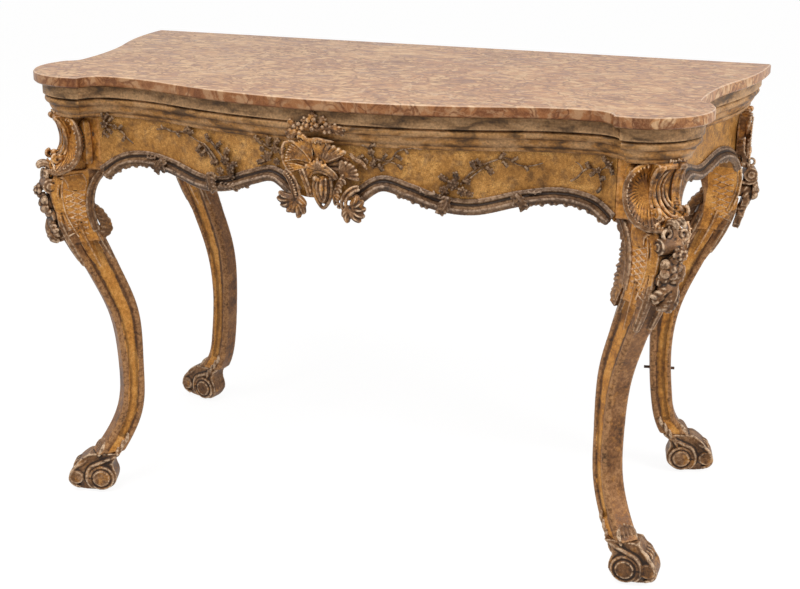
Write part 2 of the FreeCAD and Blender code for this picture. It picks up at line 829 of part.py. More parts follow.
def beyond_joint():
    """The space past the joint between the front rail and the right-hand post."""
    return box(joint_x - glue_line, BIG, -BIG, BIG, -BIG, BIG)


def side_moulding():
    """Moulding along the lower edge of the right side rail."""
    near = rail_inset - moulding_proud
    pieces = []
    for half, low, high in ((moulding_half, near, rail_inset - glue_line), (bead_half, near - bead_proud, near)):
        strip = ribbon([(y, z, half) for y, z in side_path()]).extrude(UP * BIG)
        strip.rotate(ORIGIN, Vector(1, 0, 0), 90)
        strip.rotate(ORIGIN, UP, 90)
        pieces.append(side_run(band(low, high, frame_top - rail_drop - 40, frame_top)).common(strip))
    keep = box(0, BIG, joint_y + glue_line, rear_joint_y - glue_line, 0, table_height)
    return merge(pieces).common(keep)


def leg_comb(aside, spine):
    """Leafy serrated crest down the inner edge of a leg, along a spine of (out, share of the rise)."""
    rise = cornice_bottom - bracket_height - knee_height
    spine = [(a, share * rise) for a, share in spine]
    stations = [(a, knee_height + b, 8) for a, b in spine]
    strip = standing(ribbon(stations), comb_thickness)
    teeth = []
    for (a, b), (c, d) in zip(spine, spine[1:]):
        for share in (0.0, 0.5):
            x = a + (c - a) * share
            z = knee_height + b + (d - b) * share
            tooth = Part.makeCylinder(comb_tooth, comb_thickness, Vector(x - 7, -comb_thickness / 2, z),
                                      Vector(0, 1, 0))
            teeth.append(tooth)
    crest = merge([strip] + teeth)
    crest.translate(Vector(0, -aside, 0))
    return crest


# ---------------------------------------------------------------- carved ornament

def rosette(radius):
    """Five-petalled flower facing +Z."""
    parts = [Part.makeSphere(radius * 0.5, Vector(0, 0, radius * 0.45))]
    for step in range(5):
        angle = math.radians(90 + 72 * step)
        centre = Vector(radius * 0.75 * math.cos(angle), radius * 0.75 * math.sin(angle), radius * 0.2)
        parts.append(Part.makeSphere(radius * 0.55, centre))
    floor = Part.makeBox(BIG, BIG, BIG, Vector(-BIG / 2, -BIG / 2, -BIG))
    return merge(parts).cut(floor)


def leaf(length, width, thickness):
    """Lobed leaf lying flat, facing +Z, growing towards +Y from its stalk."""
    half = width / 2
    right = [
        ((half * 0.55, length * 0.05), (half, length * 0.30)),
        ((half * 0.70, length * 0.36), (half * 0.95, length * 0.60)),
        ((half * 0.50, length * 0.66), (half * 0.45, length * 0.86)),
        ((half * 0.20, length * 0.92), (0, length)),
    ]
    left = [
        ((-half * 0.20, length * 0.92), (-half * 0.45, length * 0.86)),
        ((-half * 0.50, length * 0.66), (-half * 0.95, length * 0.60)),
        ((-half * 0.70, length * 0.36), (-half, length * 0.30)),
        ((-half * 0.55, length * 0.05), (0, 0)),
    ]
    return Part.Face(chain((0, 0), right + left, flat)).extrude(UP * thickness)


def turned(shape, degrees):
    placed = shape.copy()
    placed.rotate(ORIGIN, UP, degrees)
    return placed


def stem(points):
    """Carved twig lying on the front rail through places (x, z)."""
    parts = []
    joints = []
    for x, z in points:
        joints.append(Vector(x, face_y(x, rail_inset - glue_line - stem_radius), z))
    for start, end in zip(joints, joints[1:]):
        run = end - start
        parts.append(Part.makeCylinder(stem_radius, run.Length, start, run))
        parts.append(Part.makeSphere(stem_radius, end))
    return merge(parts)


def spray(stem_points, flowers, leaves, lift=glue_line):
    """A twig with flowers at (x, z, radius) and leaves at (x, z, length, turn)."""
    parts = [stem(stem_points)]
    for x, z, radius in flowers:
        parts.append(on_front(rosette(radius), x, z, lift))
    for x, z, length, degrees in leaves:
        parts.append(on_front(turned(leaf(length, length * 0.55, 4.5), degrees), x, z, lift))
    return merge(parts)


def rail_place(share, drop):
    """A place on the front rail: share of the way from centre to post, and drop below the frame's top."""
    return share * joint_x, frame_top - drop


def left_rose_spray():
    twig = [rail_place(-0.63, 74), rail_place(-0.585, 68), rail_place(-0.51, 75), rail_place(-0.45, 99),
            rail_place(-0.42, 126)]
    x, z = rail_place(-0.415, 116)
    x2, z2 = rail_place(-0.545, 70)
    return spray(twig, [(x, z, rosette_radius + 2), (x2, z2, 6)], [(x + 8, z - 12, 26, 60), (x2, z2, 20, 200)])


def right_rose_spray():
    twig = [rail_place(0.455, 124), rail_place(0.50, 107), rail_place(0.58, 79), rail_place(0.66, 77),
            rail_place(0.74, 80)]
    x, z = rail_place(0.435, 120)
    x2, z2 = rail_place(0.61, 72)
    return spray(twig, [(x, z, rosette_radius + 2), (x2, z2, 6)], [(x - 8, z, 26, 60), (x2 + 24, z2 - 5, 18, -60)])


def left_corner_spray():
    twig = [rail_place(-0.985, 72), rail_place(-0.95, 78), rail_place(-0.91, 82), rail_place(-0.87, 98)]
    x, z = rail_place(-0.94, 80)
    return spray(twig, [(x, z, 8)], [(x - 6, z, 20, 30), (x + 14, z - 4, 18, -110)], hollow_lift)


def right_corner_spray():
    twig = [rail_place(0.84, 107), rail_place(0.875, 90), rail_place(0.93, 84), rail_place(0.975, 68)]
    x, z = rail_place(0.94, 80)
    return spray(twig, [(x, z, 8)], [(x, z - 4, 22, 190), (x - 18, z, 18, 110)], hollow_lift)


def left_flower_cluster():
    """Buds and leaves beside the shell."""
    twig = [rail_place(-0.27, 69), rail_place(-0.235, 76), rail_place(-0.185, 84), rail_place(-0.215, 98)]
    x, z = rail_place(-0.19, 82)
    return spray(twig, [(x, z, 9), (x - 13, z - 13, 8)], [(x - 8, z - 3, 20, 60), (x - 17, z - 6, 20, 100)])


def right_vine():
    """Leafy vine that runs from the shell along the rail."""
    twig = [rail_place(0.165, 70), rail_place(0.205, 76), rail_place(0.255, 68), rail_place(0.31, 67),
            rail_place(0.355, 67)]
    x, z = rail_place(0.175, 76)
    return spray(twig, [(x, z, 9)], [(x + 6, z, 22, -80), (x + 42, z + 8, 18, -140)])


def fit_over_cornice(carving):
    """Hollow the back of a carving so that it seats on the cornice and the rail."""
    seat = front_run(band(rail_inset - glue_line, BIG / 40, 0, frame_top))
    start, steps = cornice_profile()
    return carving.cut([seat, front_run((start, steps))])


def shell_cartouche():
    """Fluted shell that fans up from its hinge over the rail and the foot of the cornice."""
    depth = shell_proud
    base = Part.makeCylinder(shell_radius * 0.80, depth * 0.55)
    ribs = []
    for step in range(shell_ribs):
        angle = math.radians(-15 + step * 210 / (shell_ribs - 1))
        along = Vector(math.cos(angle), math.sin(angle), 0)
        rib = Part.makeCone(4, 12, shell_radius - 12, along * 4 + Vector(0, 0, depth * 0.45), along)
        tip = Part.makeSphere(12, along * (shell_radius - 8) + Vector(0, 0, depth * 0.45))
        ribs += [rib, tip]
    fan = base.fuse(ribs)
    fan = fan.cut(Part.makeBox(BIG, BIG, BIG, Vector(-BIG / 2, -BIG / 2, -BIG)))
    fan = fan.cut(Part.makeBox(BIG, BIG, BIG, Vector(-BIG / 2, -BIG - shell_radius * 0.45, -BIG / 2)))
    return fit_over_cornice(on_front(fan, shell_offset, hinge_height, 0))


def shell_crest():
    """Small flowers on the fascia above the shell."""
    parts = []
    for share, rise, radius in ((-0.9, 72, 8), (-0.45, 82, 9), (0.05, 86, 10), (0.55, 82, 9), (1.0, 70, 8)):
        x = shell_offset + share * shell_radius * 0.6
        blossom = on_front(rosette(radius), x, hinge_height + rise, rail_inset - fascia_inset)
        parts.append(blossom)
    rod = Part.makeCylinder(6, shell_radius * 1.1, Vector(-shell_radius * 0.55, 0, 0), Vector(1, 0, 0))
    parts.append(on_front(rod, shell_offset, hinge_height + 79, rail_inset - fascia_inset + 3))
    return merge(parts).cut(front_run(cornice_profile()))


def cabochon():
    """Hooded oval drop that hangs from the hinge of the shell."""
    drop = Part.makeSphere(cabochon_radius)
    stretch = FreeCAD.Matrix()
    stretch.scale(1.0, 2.2, 0.85)
    drop = drop.transformGeometry(stretch)
    hood = Part.makeTorus(cabochon_radius + 3, 5)
    hood = hood.cut(Part.makeBox(BIG, BIG, BIG, Vector(-BIG / 2, -BIG, -BIG / 2)))
    hood.translate(Vector(0, cabochon_radius, 2))
    stone = drop.fuse(hood)
    stone.translate(Vector(0, -2.9 * cabochon_radius, cabochon_radius))
    placed = on_front(stone, shell_offset + 2, hinge_height, 0)
    return placed


def pendant_scroll(side):
    """C-scroll beside the drop, with a lobed leaf at its foot."""
    thickness = 12.0
    curl = Part.makeCylinder(pendant_radius, thickness)
    curl = curl.cut(Part.makeCylinder(pendant_radius * 0.4, 3 * thickness, Vector(4, 3, -thickness)))
    curl = curl.cut(Part.makeBox(BIG, BIG, BIG, Vector(5, 4, -BIG / 2)))
    lobes = [curl]
    for across, down, radius in ((8, 24, 13), (22, 20, 10), (20, 32, 8)):
        lobes.append(Part.makeCylinder(radius, thickness + 3, Vector(across, -down, 1)))
    scroll = merge(lobes)
    if side < 0:
        scroll = mirrored(scroll)
    lift = moulding_proud + bead_proud + 2 * glue_line
    return on_front(scroll, shell_offset + side * 48, hinge_height - 56, lift)


def moulding_knot(share, drop):
    """Leafy wrap that crosses the serpentine moulding."""
    x, z = rail_place(share, drop)
    lift = moulding_proud + bead_proud + 2 * glue_line
    wrap = turned(leaf(34, 24, 6), 150 if share > 0 else 210)
    return on_front(wrap, x, z + 16, lift)


def knee_carving(reach):
    """Flower, volutes and hanging leaf on the front of a knee, drawn along local +X."""
    rise = cornice_bottom - bracket_height - knee_height
    height = knee_height + 0.53 * rise
    scroll_up = height + 0.265 * rise
    blossom = rosette(17)
    blossom.rotate(ORIGIN, Vector(0, 1, 0), 90)
    blossom.translate(Vector(reach + 12, 0, height))
    boss = Part.makeCylinder(14, 38, Vector(reach - 24, 0, height), Vector(1, 0, 0))
    curl = Part.makeCylinder(14, 42, Vector(reach + 6, -21, scroll_up), Vector(0, 1, 0))
    eye = Part.makeCylinder(7, 48, Vector(reach + 7, -24, scroll_up), Vector(0, 1, 0))
    rod = Part.makeCylinder(8, 44, Vector(reach + 1, 0, height - 8))
    drop = leaf(76, 34, 14)
    drop.rotate(ORIGIN, Vector(0, 0, 1), 180)
    drop.rotate(ORIGIN, Vector(1, 0, 0), 90)
    drop.rotate(ORIGIN, Vector(0, 0, 1), 90)
    drop.rotate(ORIGIN, Vector(0, 1, 0), 14)
    drop.translate(Vector(reach - 3, 0, height - 6))
    return merge([boss, blossom, curl, eye, rod, drop])


def repair_pin(play=0.0):
    """Iron pin driven through the right rear leg, its ends left proud."""
    middle = knee_out - bow_back
    pin = Part.makeCylinder(repair_pin_radius + play, repair_pin_length,
                            Vector(middle - repair_pin_length / 2, 0, repair_pin_height), Vector(1, 0, 0))
    return at_rear_leg(pin)


def slab_shims():
    """Thin packings that level the slab on the posts and the bearers."""
    spots = []
    for side in (-1, 1):
        spots.append((side * (lobe.x + 20), lobe.y - 20))
        spots.append((side * rear_leg_x, rear_leg_y))
        spots.append((side * bearer_spacing / 2, front_y / 2))
        spots.append((side * bearer_spacing / 2, back_y / 2))
    return [box(x - shim_length / 2, x + shim_length / 2, y - shim_width / 2, y + shim_width / 2,
                frame_top, slab_bottom) for x, y in spots]


def corner_glue_blocks():
    """Short square blocks glued inside the back corners, under the top edge."""
    x = rear_post_inner
    y = back_y - back_rail_thickness
    block = box(x - glue_block, x, y - glue_block, y, frame_top - 90, frame_top - 10)
    return [block, mirrored(block)]


# ---------------------------------------------------------------- build

def write(node, shape):
    shape.exportStep("parts/" + node + ".step")
    print(node, len(shape.Solids), shape.isValid(), round(shape.Volume / 1000))


def build():
    os.makedirs("parts", exist_ok=True)
    write("marble_top", marble_top())
    write("front_rail", front_rail())
    write("back_rail", back_rail())
    write("front_cornice", front_cornice())
    write("left_bearer", bearers()[0])
    write("right_bearer", bearers()[1])
    write("slab_shims", group(slab_shims()))
    write("corner_glue_blocks", group(corner_glue_blocks()))
    write("repair_pin", repair_pin())

    front_limb = front_leg()
    rear_limb = rear_leg()
    front_bracket = at_front_corner(bracket(lobe_radius))
    front_wing, end_wing = front_wings()
    front_strip = front_moulding()
    side_strip = side_moulding()
    front_knee = at_front_leg(knee_carving(lobe_radius - knee_set_back + front_flower_proud))
    rear_knee = at_rear_leg(knee_carving(rear_leg_inset_x - rear_knee_set_back + rear_flower_proud))
    rear_bracket = at_rear_corner(bracket(rear_leg_inset_x))
    front_comb = at_front_leg(leg_comb(comb_aside, long_comb))
    right_hand = {
        "side_rail": side_rail(),
        "side_cornice": side_cornice(),
        "corner_cornice": corner_cornice(),
        "corner_block": corner_block(),
        "front_leg": front_limb,
        "front_foot": at_front_foot(foot(right_foot_length), right_foot_turn),
        "back_foot": at_rear_foot(foot()),
        "front_bracket": front_bracket,
        "back_bracket": rear_bracket,
        "front_wing": front_wing.cut([front_bracket, front_limb, front_strip]),
        "end_wing": end_wing.cut([front_bracket, front_limb, side_strip]),
        "back_wing": rear_wing().cut([rear_bracket, rear_limb, side_strip]),
        "front_knee_carving": front_knee.cut([front_limb, front_bracket]),
        "back_knee_carving": rear_knee.cut([rear_limb, rear_bracket]),
        "front_leg_comb": front_comb.cut([front_limb, beside_post(), side_strip]),
        "back_leg_comb": at_rear_leg(leg_comb(0, short_comb)).cut([rear_limb, side_strip]),
        "front_moulding": front_strip,
        "side_moulding": side_strip,
    }
    for node, shape in right_hand.items():
        write("right_" + node, shape)
        write("left_" + node, mirrored(shape))
    write("right_back_leg", rear_limb.cut(repair_pin(slide_clearance)))
    write("left_back_leg", mirrored(rear_limb))
    write("left_front_foot", mirrored(at_front_foot(foot(), left_foot_turn)))
    left_comb = at_front_leg(leg_comb(comb_aside - 4, short_comb)).cut([front_limb, side_strip])
    write("left_front_leg_comb", mirrored(left_comb))

    pegs = [front_peg(), side_peg(), rear_peg()]
    write("tenon_pegs", group(pegs + [mirrored(peg) for peg in pegs]))
    dowels = [at_front_foot(foot_dowel()), at_rear_foot(foot_dowel())]
    write("foot_dowels", group(dowels + [mirrored(dowel) for dowel in dowels]))

    drop = cabochon()
    write("shell_cartouche", shell_cartouche().cut([drop, front_strip, mirrored(front_strip)]))
    write("shell_crest", shell_crest())
    write("cabochon", drop)
    write("pendant_scrolls", group([pendant_scroll(-1), pendant_scroll(1)]))
    write("left_rose_spray", left_rose_spray())
    write("right_rose_spray", right_rose_spray())
    write("corner_sprays", group([left_corner_spray(), right_corner_spray()]))
    write("left_flower_cluster", left_flower_cluster())
    write("right_vine", right_vine())
    write("moulding_knots", group([moulding_knot(*spot) for spot in
                                   ((-0.71, 138), (-0.40, 150), (0.43, 155), (0.70, 142))]))


build()
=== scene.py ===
# %% [markdown]
# A pier table stands against the wall between two windows, so its front and two sides are carved
# and its back is plain. The joiner's frame comes ready from the CAD model. What is left for Blender
# is the carver's and gilder's work: soft worn edges, shells, flowers and scrolls, old gold and marble.

# %% Load the frame
import math

import bpy
import numpy as np
from mathutils import Matrix, Vector
from mathutils.bvhtree import BVHTree


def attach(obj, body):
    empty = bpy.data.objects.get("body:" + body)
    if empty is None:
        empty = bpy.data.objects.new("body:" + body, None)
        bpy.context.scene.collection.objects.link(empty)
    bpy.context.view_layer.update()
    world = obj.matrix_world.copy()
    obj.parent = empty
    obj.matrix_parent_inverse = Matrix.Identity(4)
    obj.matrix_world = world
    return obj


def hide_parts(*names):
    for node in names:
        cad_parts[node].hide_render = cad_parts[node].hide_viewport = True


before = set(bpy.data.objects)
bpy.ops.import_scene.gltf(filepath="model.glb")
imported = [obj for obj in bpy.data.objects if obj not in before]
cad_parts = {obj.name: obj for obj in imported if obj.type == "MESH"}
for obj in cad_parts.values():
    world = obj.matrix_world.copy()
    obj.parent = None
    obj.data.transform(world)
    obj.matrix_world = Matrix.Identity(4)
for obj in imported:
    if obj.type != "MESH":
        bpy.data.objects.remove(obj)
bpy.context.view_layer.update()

print(len(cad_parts), "nodes in the frame")


def pick(piece):
    """Select one object alone and make it the active one."""
    bpy.ops.object.select_all(action="DESELECT")
    piece.select_set(True)
    bpy.context.view_layer.objects.active = piece
    return piece


bpy.ops.object.select_all(action="DESELECT")

# %% [markdown]
# The camera stands a little to the right of the table and looks down on it. A long lens keeps the
# four legs nearly parallel. The three angles are worked out from the slab's outline.

# %% Camera
lens_data = bpy.data.cameras.new("camera")
lens_data.lens = 62.11
lens_data.sensor_width = 36.0
camera = bpy.data.objects.new("camera", lens_data)
bpy.context.scene.collection.objects.link(camera)
bpy.context.scene.camera = camera
yaw, pitch, roll = 0.34322, 0.31891, 0.00563
back = Vector((math.sin(yaw) * math.cos(pitch), -math.cos(yaw) * math.cos(pitch), math.sin(pitch)))
level = (-back).cross(Vector((0, 0, 1))).normalized()
upright = level.cross(-back)
right = math.cos(roll) * level + math.sin(roll) * upright
up = math.cos(roll) * upright - math.sin(roll) * level
stand = Vector((0.91943, -2.49524, 1.30184))
camera.matrix_world = Matrix([[right[i], up[i], back[i], stand[i]] for i in range(3)] + [[0, 0, 0, 1]])
print("camera", [round(v, 3) for v in camera.location])

# %% [markdown]
# A pale floor and soft light, as in a studio. The floor and the world are plain white for the camera
# and for reflections, but for other rays they give only a mild light, so that the gold stays deep.

# %% Floor, world and lamps
bpy.ops.mesh.primitive_plane_add(size=40, location=(0, 0, -0.0005))
floor = bpy.context.object
floor.name = "studio_floor"
bpy.ops.object.select_all(action="DESELECT")


def seen_white(tree, low, high):
    """A value that is high for camera, mirror and glass rays and low for all other light."""
    rays = tree.nodes.new("ShaderNodeLightPath")
    total = rays.outputs["Is Camera Ray"]
    for name in ("Is Glossy Ray", "Is Transmission Ray"):
        more = tree.nodes.new("ShaderNodeMath")
        more.operation = "MAXIMUM"
        tree.links.new(total, more.inputs[0])
        tree.links.new(rays.outputs[name], more.inputs[1])
        total = more.outputs[0]
    scale = tree.nodes.new("ShaderNodeMapRange")
    tree.links.new(total, scale.inputs["Value"])
    scale.inputs["To Min"].default_value = low
    scale.inputs["To Max"].default_value = high
    return scale.outputs["Result"]


world = bpy.data.worlds.new("studio")
bpy.context.scene.world = world
world.use_nodes = True
sky = world.node_tree
sky.nodes["Background"].inputs["Color"].default_value = (1, 1, 1, 1)
sky.links.new(seen_white(sky, 0.42, 1.0), sky.nodes["Background"].inputs["Strength"])

ground = bpy.data.materials.new("pale_floor")
ground.use_nodes = True
ground_tree = ground.node_tree
ground_tree.nodes["Principled BSDF"].inputs["Base Color"].default_value = (0.80, 0.79, 0.78, 1)
ground_tree.nodes["Principled BSDF"].inputs["Roughness"].default_value = 0.9
glow = ground_tree.nodes.new("ShaderNodeEmission")
share = ground_tree.nodes.new("ShaderNodeMixShader")
ground_tree.links.new(seen_white(ground_tree, 0.0, 0.80), share.inputs[0])
ground_tree.links.new(ground_tree.nodes["Principled BSDF"].outputs[0], share.inputs[1])
ground_tree.links.new(glow.outputs[0], share.inputs[2])
ground_tree.links.new(share.outputs[0], ground_tree.nodes["Material Output"].inputs["Surface"])
glow.inputs["Strength"].default_value = 1.14
floor.data.materials.append(ground)


def softbox(name, place, aim, size, power):
    """A square lamp that stands at one point and looks at another."""
    bpy.ops.object.light_add(type="AREA", location=place)
    lamp = bpy.context.object
    lamp.name = name
    lamp.data.size = size
    lamp.data.energy = power
    lamp.rotation_euler = (Vector(aim) - Vector(place)).to_track_quat("-Z", "Y").to_euler()
    return lamp


softbox("lamp_above", (-0.6, -1.6, 2.9), (0, 0, 0.6), 1.6, 52)
softbox("lamp_right", (3.0, -0.4, 2.0), (0.3, 0, 0.6), 1.2, 46)
bpy.context.scene.view_settings.view_transform = "Standard"
bpy.ops.object.select_all(action="DESELECT")

# %% [markdown]
# Finishes are built from noise and cells that sit in the object's own space, so they stay on the wood
# from every side. A small class keeps the node work short: each call adds one node and gives back the
# socket that comes out of it.

# %% A finish and its nodes
class Finish:
    """One material, with short ways to add nodes to it."""

    def __init__(self, name):
        self.material = bpy.data.materials.new(name)
        self.material.use_nodes = True
        self.tree = self.material.node_tree
        self.shader = self.tree.nodes["Principled BSDF"]
        self.place = self.tree.nodes.new("ShaderNodeTexCoord").outputs["Object"]

    def put(self, socket, value):
        if isinstance(value, bpy.types.NodeSocket):
            self.tree.links.new(value, socket)
        else:
            socket.default_value = value

    def add(self, kind, result, inputs, **settings):
        node = self.tree.nodes.new("ShaderNode" + kind)
        for key, value in settings.items():
            setattr(node, key, value)
        for key, value in inputs.items():
            self.put(node.inputs[key], value)
        return node.outputs[result]

    def noise(self, scale, detail=5.0, warp=0.0, place=None):
        return self.add("TexNoise", "Fac", {"Vector": place or self.place, "Scale": scale,
            "Detail": detail, "Roughness": 0.6, "Distortion": warp})

    def cells(self, scale, place):
        return self.add("TexVoronoi", "Distance", {"Vector": place, "Scale": scale},
            feature="DISTANCE_TO_EDGE")

    def stretch(self, x, y, z):
        return self.add("Mapping", "Vector", {"Vector": self.place, "Scale": (x, y, z)})

    def bend(self, place, scale, amount):
        """Push a pattern about by a noise, so that its lines wander."""
        push = self.add("TexNoise", "Color", {"Vector": place, "Scale": scale, "Detail": 3.0})
        push = self.add("VectorMath", "Vector", {0: push, 1: (0.5, 0.5, 0.5)}, operation="SUBTRACT")
        push = self.add("VectorMath", "Vector", {0: push, "Scale": amount}, operation="SCALE")
        return self.add("VectorMath", "Vector", {0: place, 1: push}, operation="ADD")

    def step(self, value, low, high, out_low=0.0, out_high=1.0):
        return self.add("MapRange", "Result", {"Value": value, "From Min": low, "From Max": high,
                                               "To Min": out_low, "To Max": out_high},
                        interpolation_type="SMOOTHSTEP")

    def math(self, operation, first, second=0.0):
        return self.add("Math", 0, {0: first, 1: second}, operation=operation)

    def blend(self, share, first, second, mode="MIX"):
        return self.add("Mix", 2, {0: share, 6: first, 7: second}, data_type="RGBA", blend_type=mode)

    def ramp(self, value, *stops):
        node = self.tree.nodes.new("ShaderNodeValToRGB")
        self.put(node.inputs[0], value)
        bar = node.color_ramp.elements
        while len(bar) < len(stops):
            bar.new(0.5)
        for spot, (place, colour) in zip(bar, stops):
            spot.position = place
            spot.color = (*colour, 1)
        return node.outputs["Color"]

    def mark(self, name):
        return self.add("Attribute", "Fac", {}, attribute_name=name)

    def axis(self, name):
        return self.add("SeparateXYZ", name, {"Vector": self.place})

    def relief(self, height, depth, strength=1.0, below=None):
        inputs = {"Height": height, "Distance": depth, "Strength": strength}
        if below:
            inputs["Normal"] = below
        return self.add("Bump", "Normal", inputs)

    def finish(self, colour, rough, normal, metal=0.0, shine=0.3):
        for socket, value in (("Base Color", colour), ("Roughness", rough), ("Normal", normal),
                              ("Metallic", metal), ("Specular IOR Level", shine)):
            self.put(self.shader.inputs[socket], value)
        return self.material


# %% [markdown]
# The slab is a breccia marble in beige and pink. Its look comes from three things at different sizes:
# slow clouds of colour, a fine net of darker threads that wanders, and a few long red-brown veins.

# %% Marble
marble = Finish("marble")
drift = marble.bend(marble.place, 3.0, 0.30)
flow = marble.bend(marble.stretch(1.0, 1.6, 1.0), 9.0, 0.09)
clouds = marble.noise(4.5, 6.0, place=drift)
stone = marble.ramp(clouds, (0.30, (0.42, 0.185, 0.080)), (0.44, (0.58, 0.300, 0.135)),
    (0.56, (0.74, 0.460, 0.250)), (0.70, (0.50, 0.240, 0.105)))
warm = marble.step(marble.axis("X"), -0.5, 0.5)
stone = marble.blend(marble.math("MULTIPLY", warm, 0.35), stone, (0.66, 0.27, 0.105, 1))
mottle = marble.noise(38.0, 5.0, place=flow)
stone = marble.blend(marble.step(mottle, 0.49, 0.60, 0.0, 0.85), stone, (0.96, 0.74, 0.52, 1))
stone = marble.blend(marble.step(mottle, 0.48, 0.36, 0.0, 0.80), stone, (0.34, 0.14, 0.060, 1))
net = marble.cells(34.0, place=marble.bend(flow, 30.0, 0.030))
threads = marble.step(net, 0.13, 0.0, 0.0, 0.85)
threads = marble.math("MULTIPLY", threads, marble.step(marble.noise(7.0, 3.0), 0.34, 0.52))
stone = marble.blend(threads, stone, (0.22, 0.075, 0.032, 1))
folds = marble.math("ABSOLUTE", marble.math("SUBTRACT", marble.noise(3.2, 7.0, 0.9, flow), 0.5))
veins = marble.step(folds, 0.016, 0.0, 0.0, 0.85)
stone = marble.blend(veins, stone, (0.20, 0.065, 0.030, 1))
pale = marble.math("ABSOLUTE", marble.math("SUBTRACT", marble.noise(5.1, 6.0, 0.5, drift), 0.52))
stone = marble.blend(marble.step(pale, 0.012, 0.0, 0.0, 0.6), stone, (0.90, 0.70, 0.50, 1))
grit = marble.noise(420.0, 2.0)
stone = marble.blend(0.22, stone, marble.ramp(grit, (0.35, (0.3, 0.14, 0.06)), (0.65, (0.85, 0.60, 0.38))))
# the slab's faces lie at z 0.860 and 0.880: its edge is darkened with painted shade that fades out at the
# right-hand end, and a paler band runs along the top arris
below = marble.math("MULTIPLY", marble.step(marble.axis("Z"), 0.8788, 0.8772),
    marble.step(marble.axis("X"), 0.60, 0.50))
stone = marble.blend(marble.math("MULTIPLY", below, 0.75), stone, (0.55, 0.42, 0.36, 1), "MULTIPLY")
stone = marble.blend(1.0, stone, (0.76, 0.66, 0.53, 1), "MULTIPLY")
# a paler band along the top arris, just under the top face
arris = marble.step(marble.axis("Z"), 0.8775, 0.8795)
arris = marble.math("MULTIPLY", arris, marble.step(marble.axis("Z"), 0.87998, 0.8796))
stone = marble.blend(marble.math("MULTIPLY", arris, 0.55), stone, (0.86, 0.68, 0.52, 1))
marble_finish = marble.finish(stone, marble.step(mottle, 0.3, 0.7, 0.30, 0.42), shine=0.22,
    normal=marble.relief(grit, 0.0002, 0.15))

# %% [markdown]
# Old gilding is never one colour. Gold leaf over red clay rubs away on the edges, which also carry a painted
# highlight; the hollows are darkened with painted shade and dirt; and the gesso under the leaf cracks in
# small cells. Two marks that each carved mesh carries steer it: "hollow" says how deep a point lies among
# its neighbours, and "golden" how much leaf is left.

# %% Gilded and worn wood
def gilding(name, gold_low, gold_mid, gold_high, brown_low, brown_mid, brown_high, leaf=None, crackle=0.5,
            rub_and_highlight=0.5, worn_edge=(0.82, 0.60, 0.40), shade=0.92):
    """Leaf over clay and wood: three golds and three browns, mixed by noise, hollows and the leaf left."""
    f = Finish(name)
    hollow = f.mark("hollow")
    golden = f.mark("golden") if leaf is None else leaf
    blotch = f.noise(22.0, 6.0, 0.3)
    grain = f.noise(160.0, 5.0)
    dust = f.noise(700.0, 2.0)
    mixed = f.math("ADD", f.math("MULTIPLY", blotch, 0.55), f.math("MULTIPLY", grain, 0.45))
    gold = f.ramp(mixed, (0.36, gold_low), (0.50, gold_mid), (0.66, gold_high))
    brown = f.ramp(mixed, (0.36, brown_low), (0.50, brown_mid), (0.64, brown_high))
    rubbed = f.math("ADD", golden, f.step(f.noise(60.0, 5.0), 0.35, 0.65, -0.35, 0.35))
    colour = f.blend(f.step(rubbed, 0.2, 0.8), brown, gold)
    cracks = f.step(f.cells(260.0, f.bend(f.place, 60.0, 0.008)), 0.05, 0.0, 0.0, crackle)
    cracks = f.math("MULTIPLY", cracks, f.step(blotch, 0.40, 0.60))
    colour = f.blend(cracks, colour, (0.06, 0.028, 0.012, 1))
    # hollows darken towards near-black: painted shade, with dirt
    colour = f.blend(f.step(hollow, 0.0, 0.55, 0.0, shade), colour, (0.018, 0.009, 0.005, 1))
    # ridges turn pale where the grain allows: worn leaf, and painted highlight
    edge = f.math("MULTIPLY", f.step(hollow, -0.20, -0.9), f.step(grain, 0.38, 0.58, 0.15, 1.0))
    colour = f.blend(f.math("MULTIPLY", edge, rub_and_highlight), colour, (*worn_edge, 1))
    colour = f.blend(0.30, colour, f.ramp(dust, (0.32, (0.0, 0.0, 0.0)), (0.68, (1.0, 1.0, 1.0))),
        "OVERLAY")
    bumps = f.relief(grain, 0.0012, 0.35)
    bumps = f.relief(cracks, -0.0004, 0.6, bumps)
    return f.finish(colour, f.step(grain, 0.3, 0.7, 0.38, 0.60), bumps, metal=0.25)


carving_finish = gilding("carved_gilding", (0.15, 0.052, 0.009), (0.44, 0.180, 0.030), (0.80, 0.40, 0.10),
    (0.045, 0.019, 0.007), (0.180, 0.082, 0.030), (0.42, 0.24, 0.125), rub_and_highlight=0.7)
leg_finish = gilding("leg_gilding", (0.26, 0.095, 0.016), (0.60, 0.255, 0.045), (0.88, 0.46, 0.13),
    (0.055, 0.022, 0.007), (0.210, 0.088, 0.028), (0.42, 0.21, 0.085), rub_and_highlight=0.45,
    worn_edge=(0.56, 0.30, 0.13), shade=0.55)
moulding_finish = gilding("moulding_gilding", (0.09, 0.036, 0.009), (0.24, 0.105, 0.026),
    (0.46, 0.23, 0.070), (0.030, 0.014, 0.006), (0.130, 0.064, 0.027), (0.30, 0.175, 0.085), rub_and_highlight=0.6,
    worn_edge=(0.60, 0.44, 0.32))
dark_finish = gilding("blackened_gilding", (0.10, 0.042, 0.010), (0.26, 0.11, 0.026), (0.42, 0.20, 0.055),
    (0.030, 0.014, 0.006), (0.115, 0.054, 0.021), (0.26, 0.14, 0.060), rub_and_highlight=0.35, shade=0.8)
panel_finish = gilding("gilt_panel", (0.25, 0.105, 0.020), (0.46, 0.215, 0.050), (0.78, 0.42, 0.125),
    (0.10, 0.044, 0.014), (0.24, 0.115, 0.036), (0.40, 0.22, 0.09), leaf=0.75, crackle=0.8)
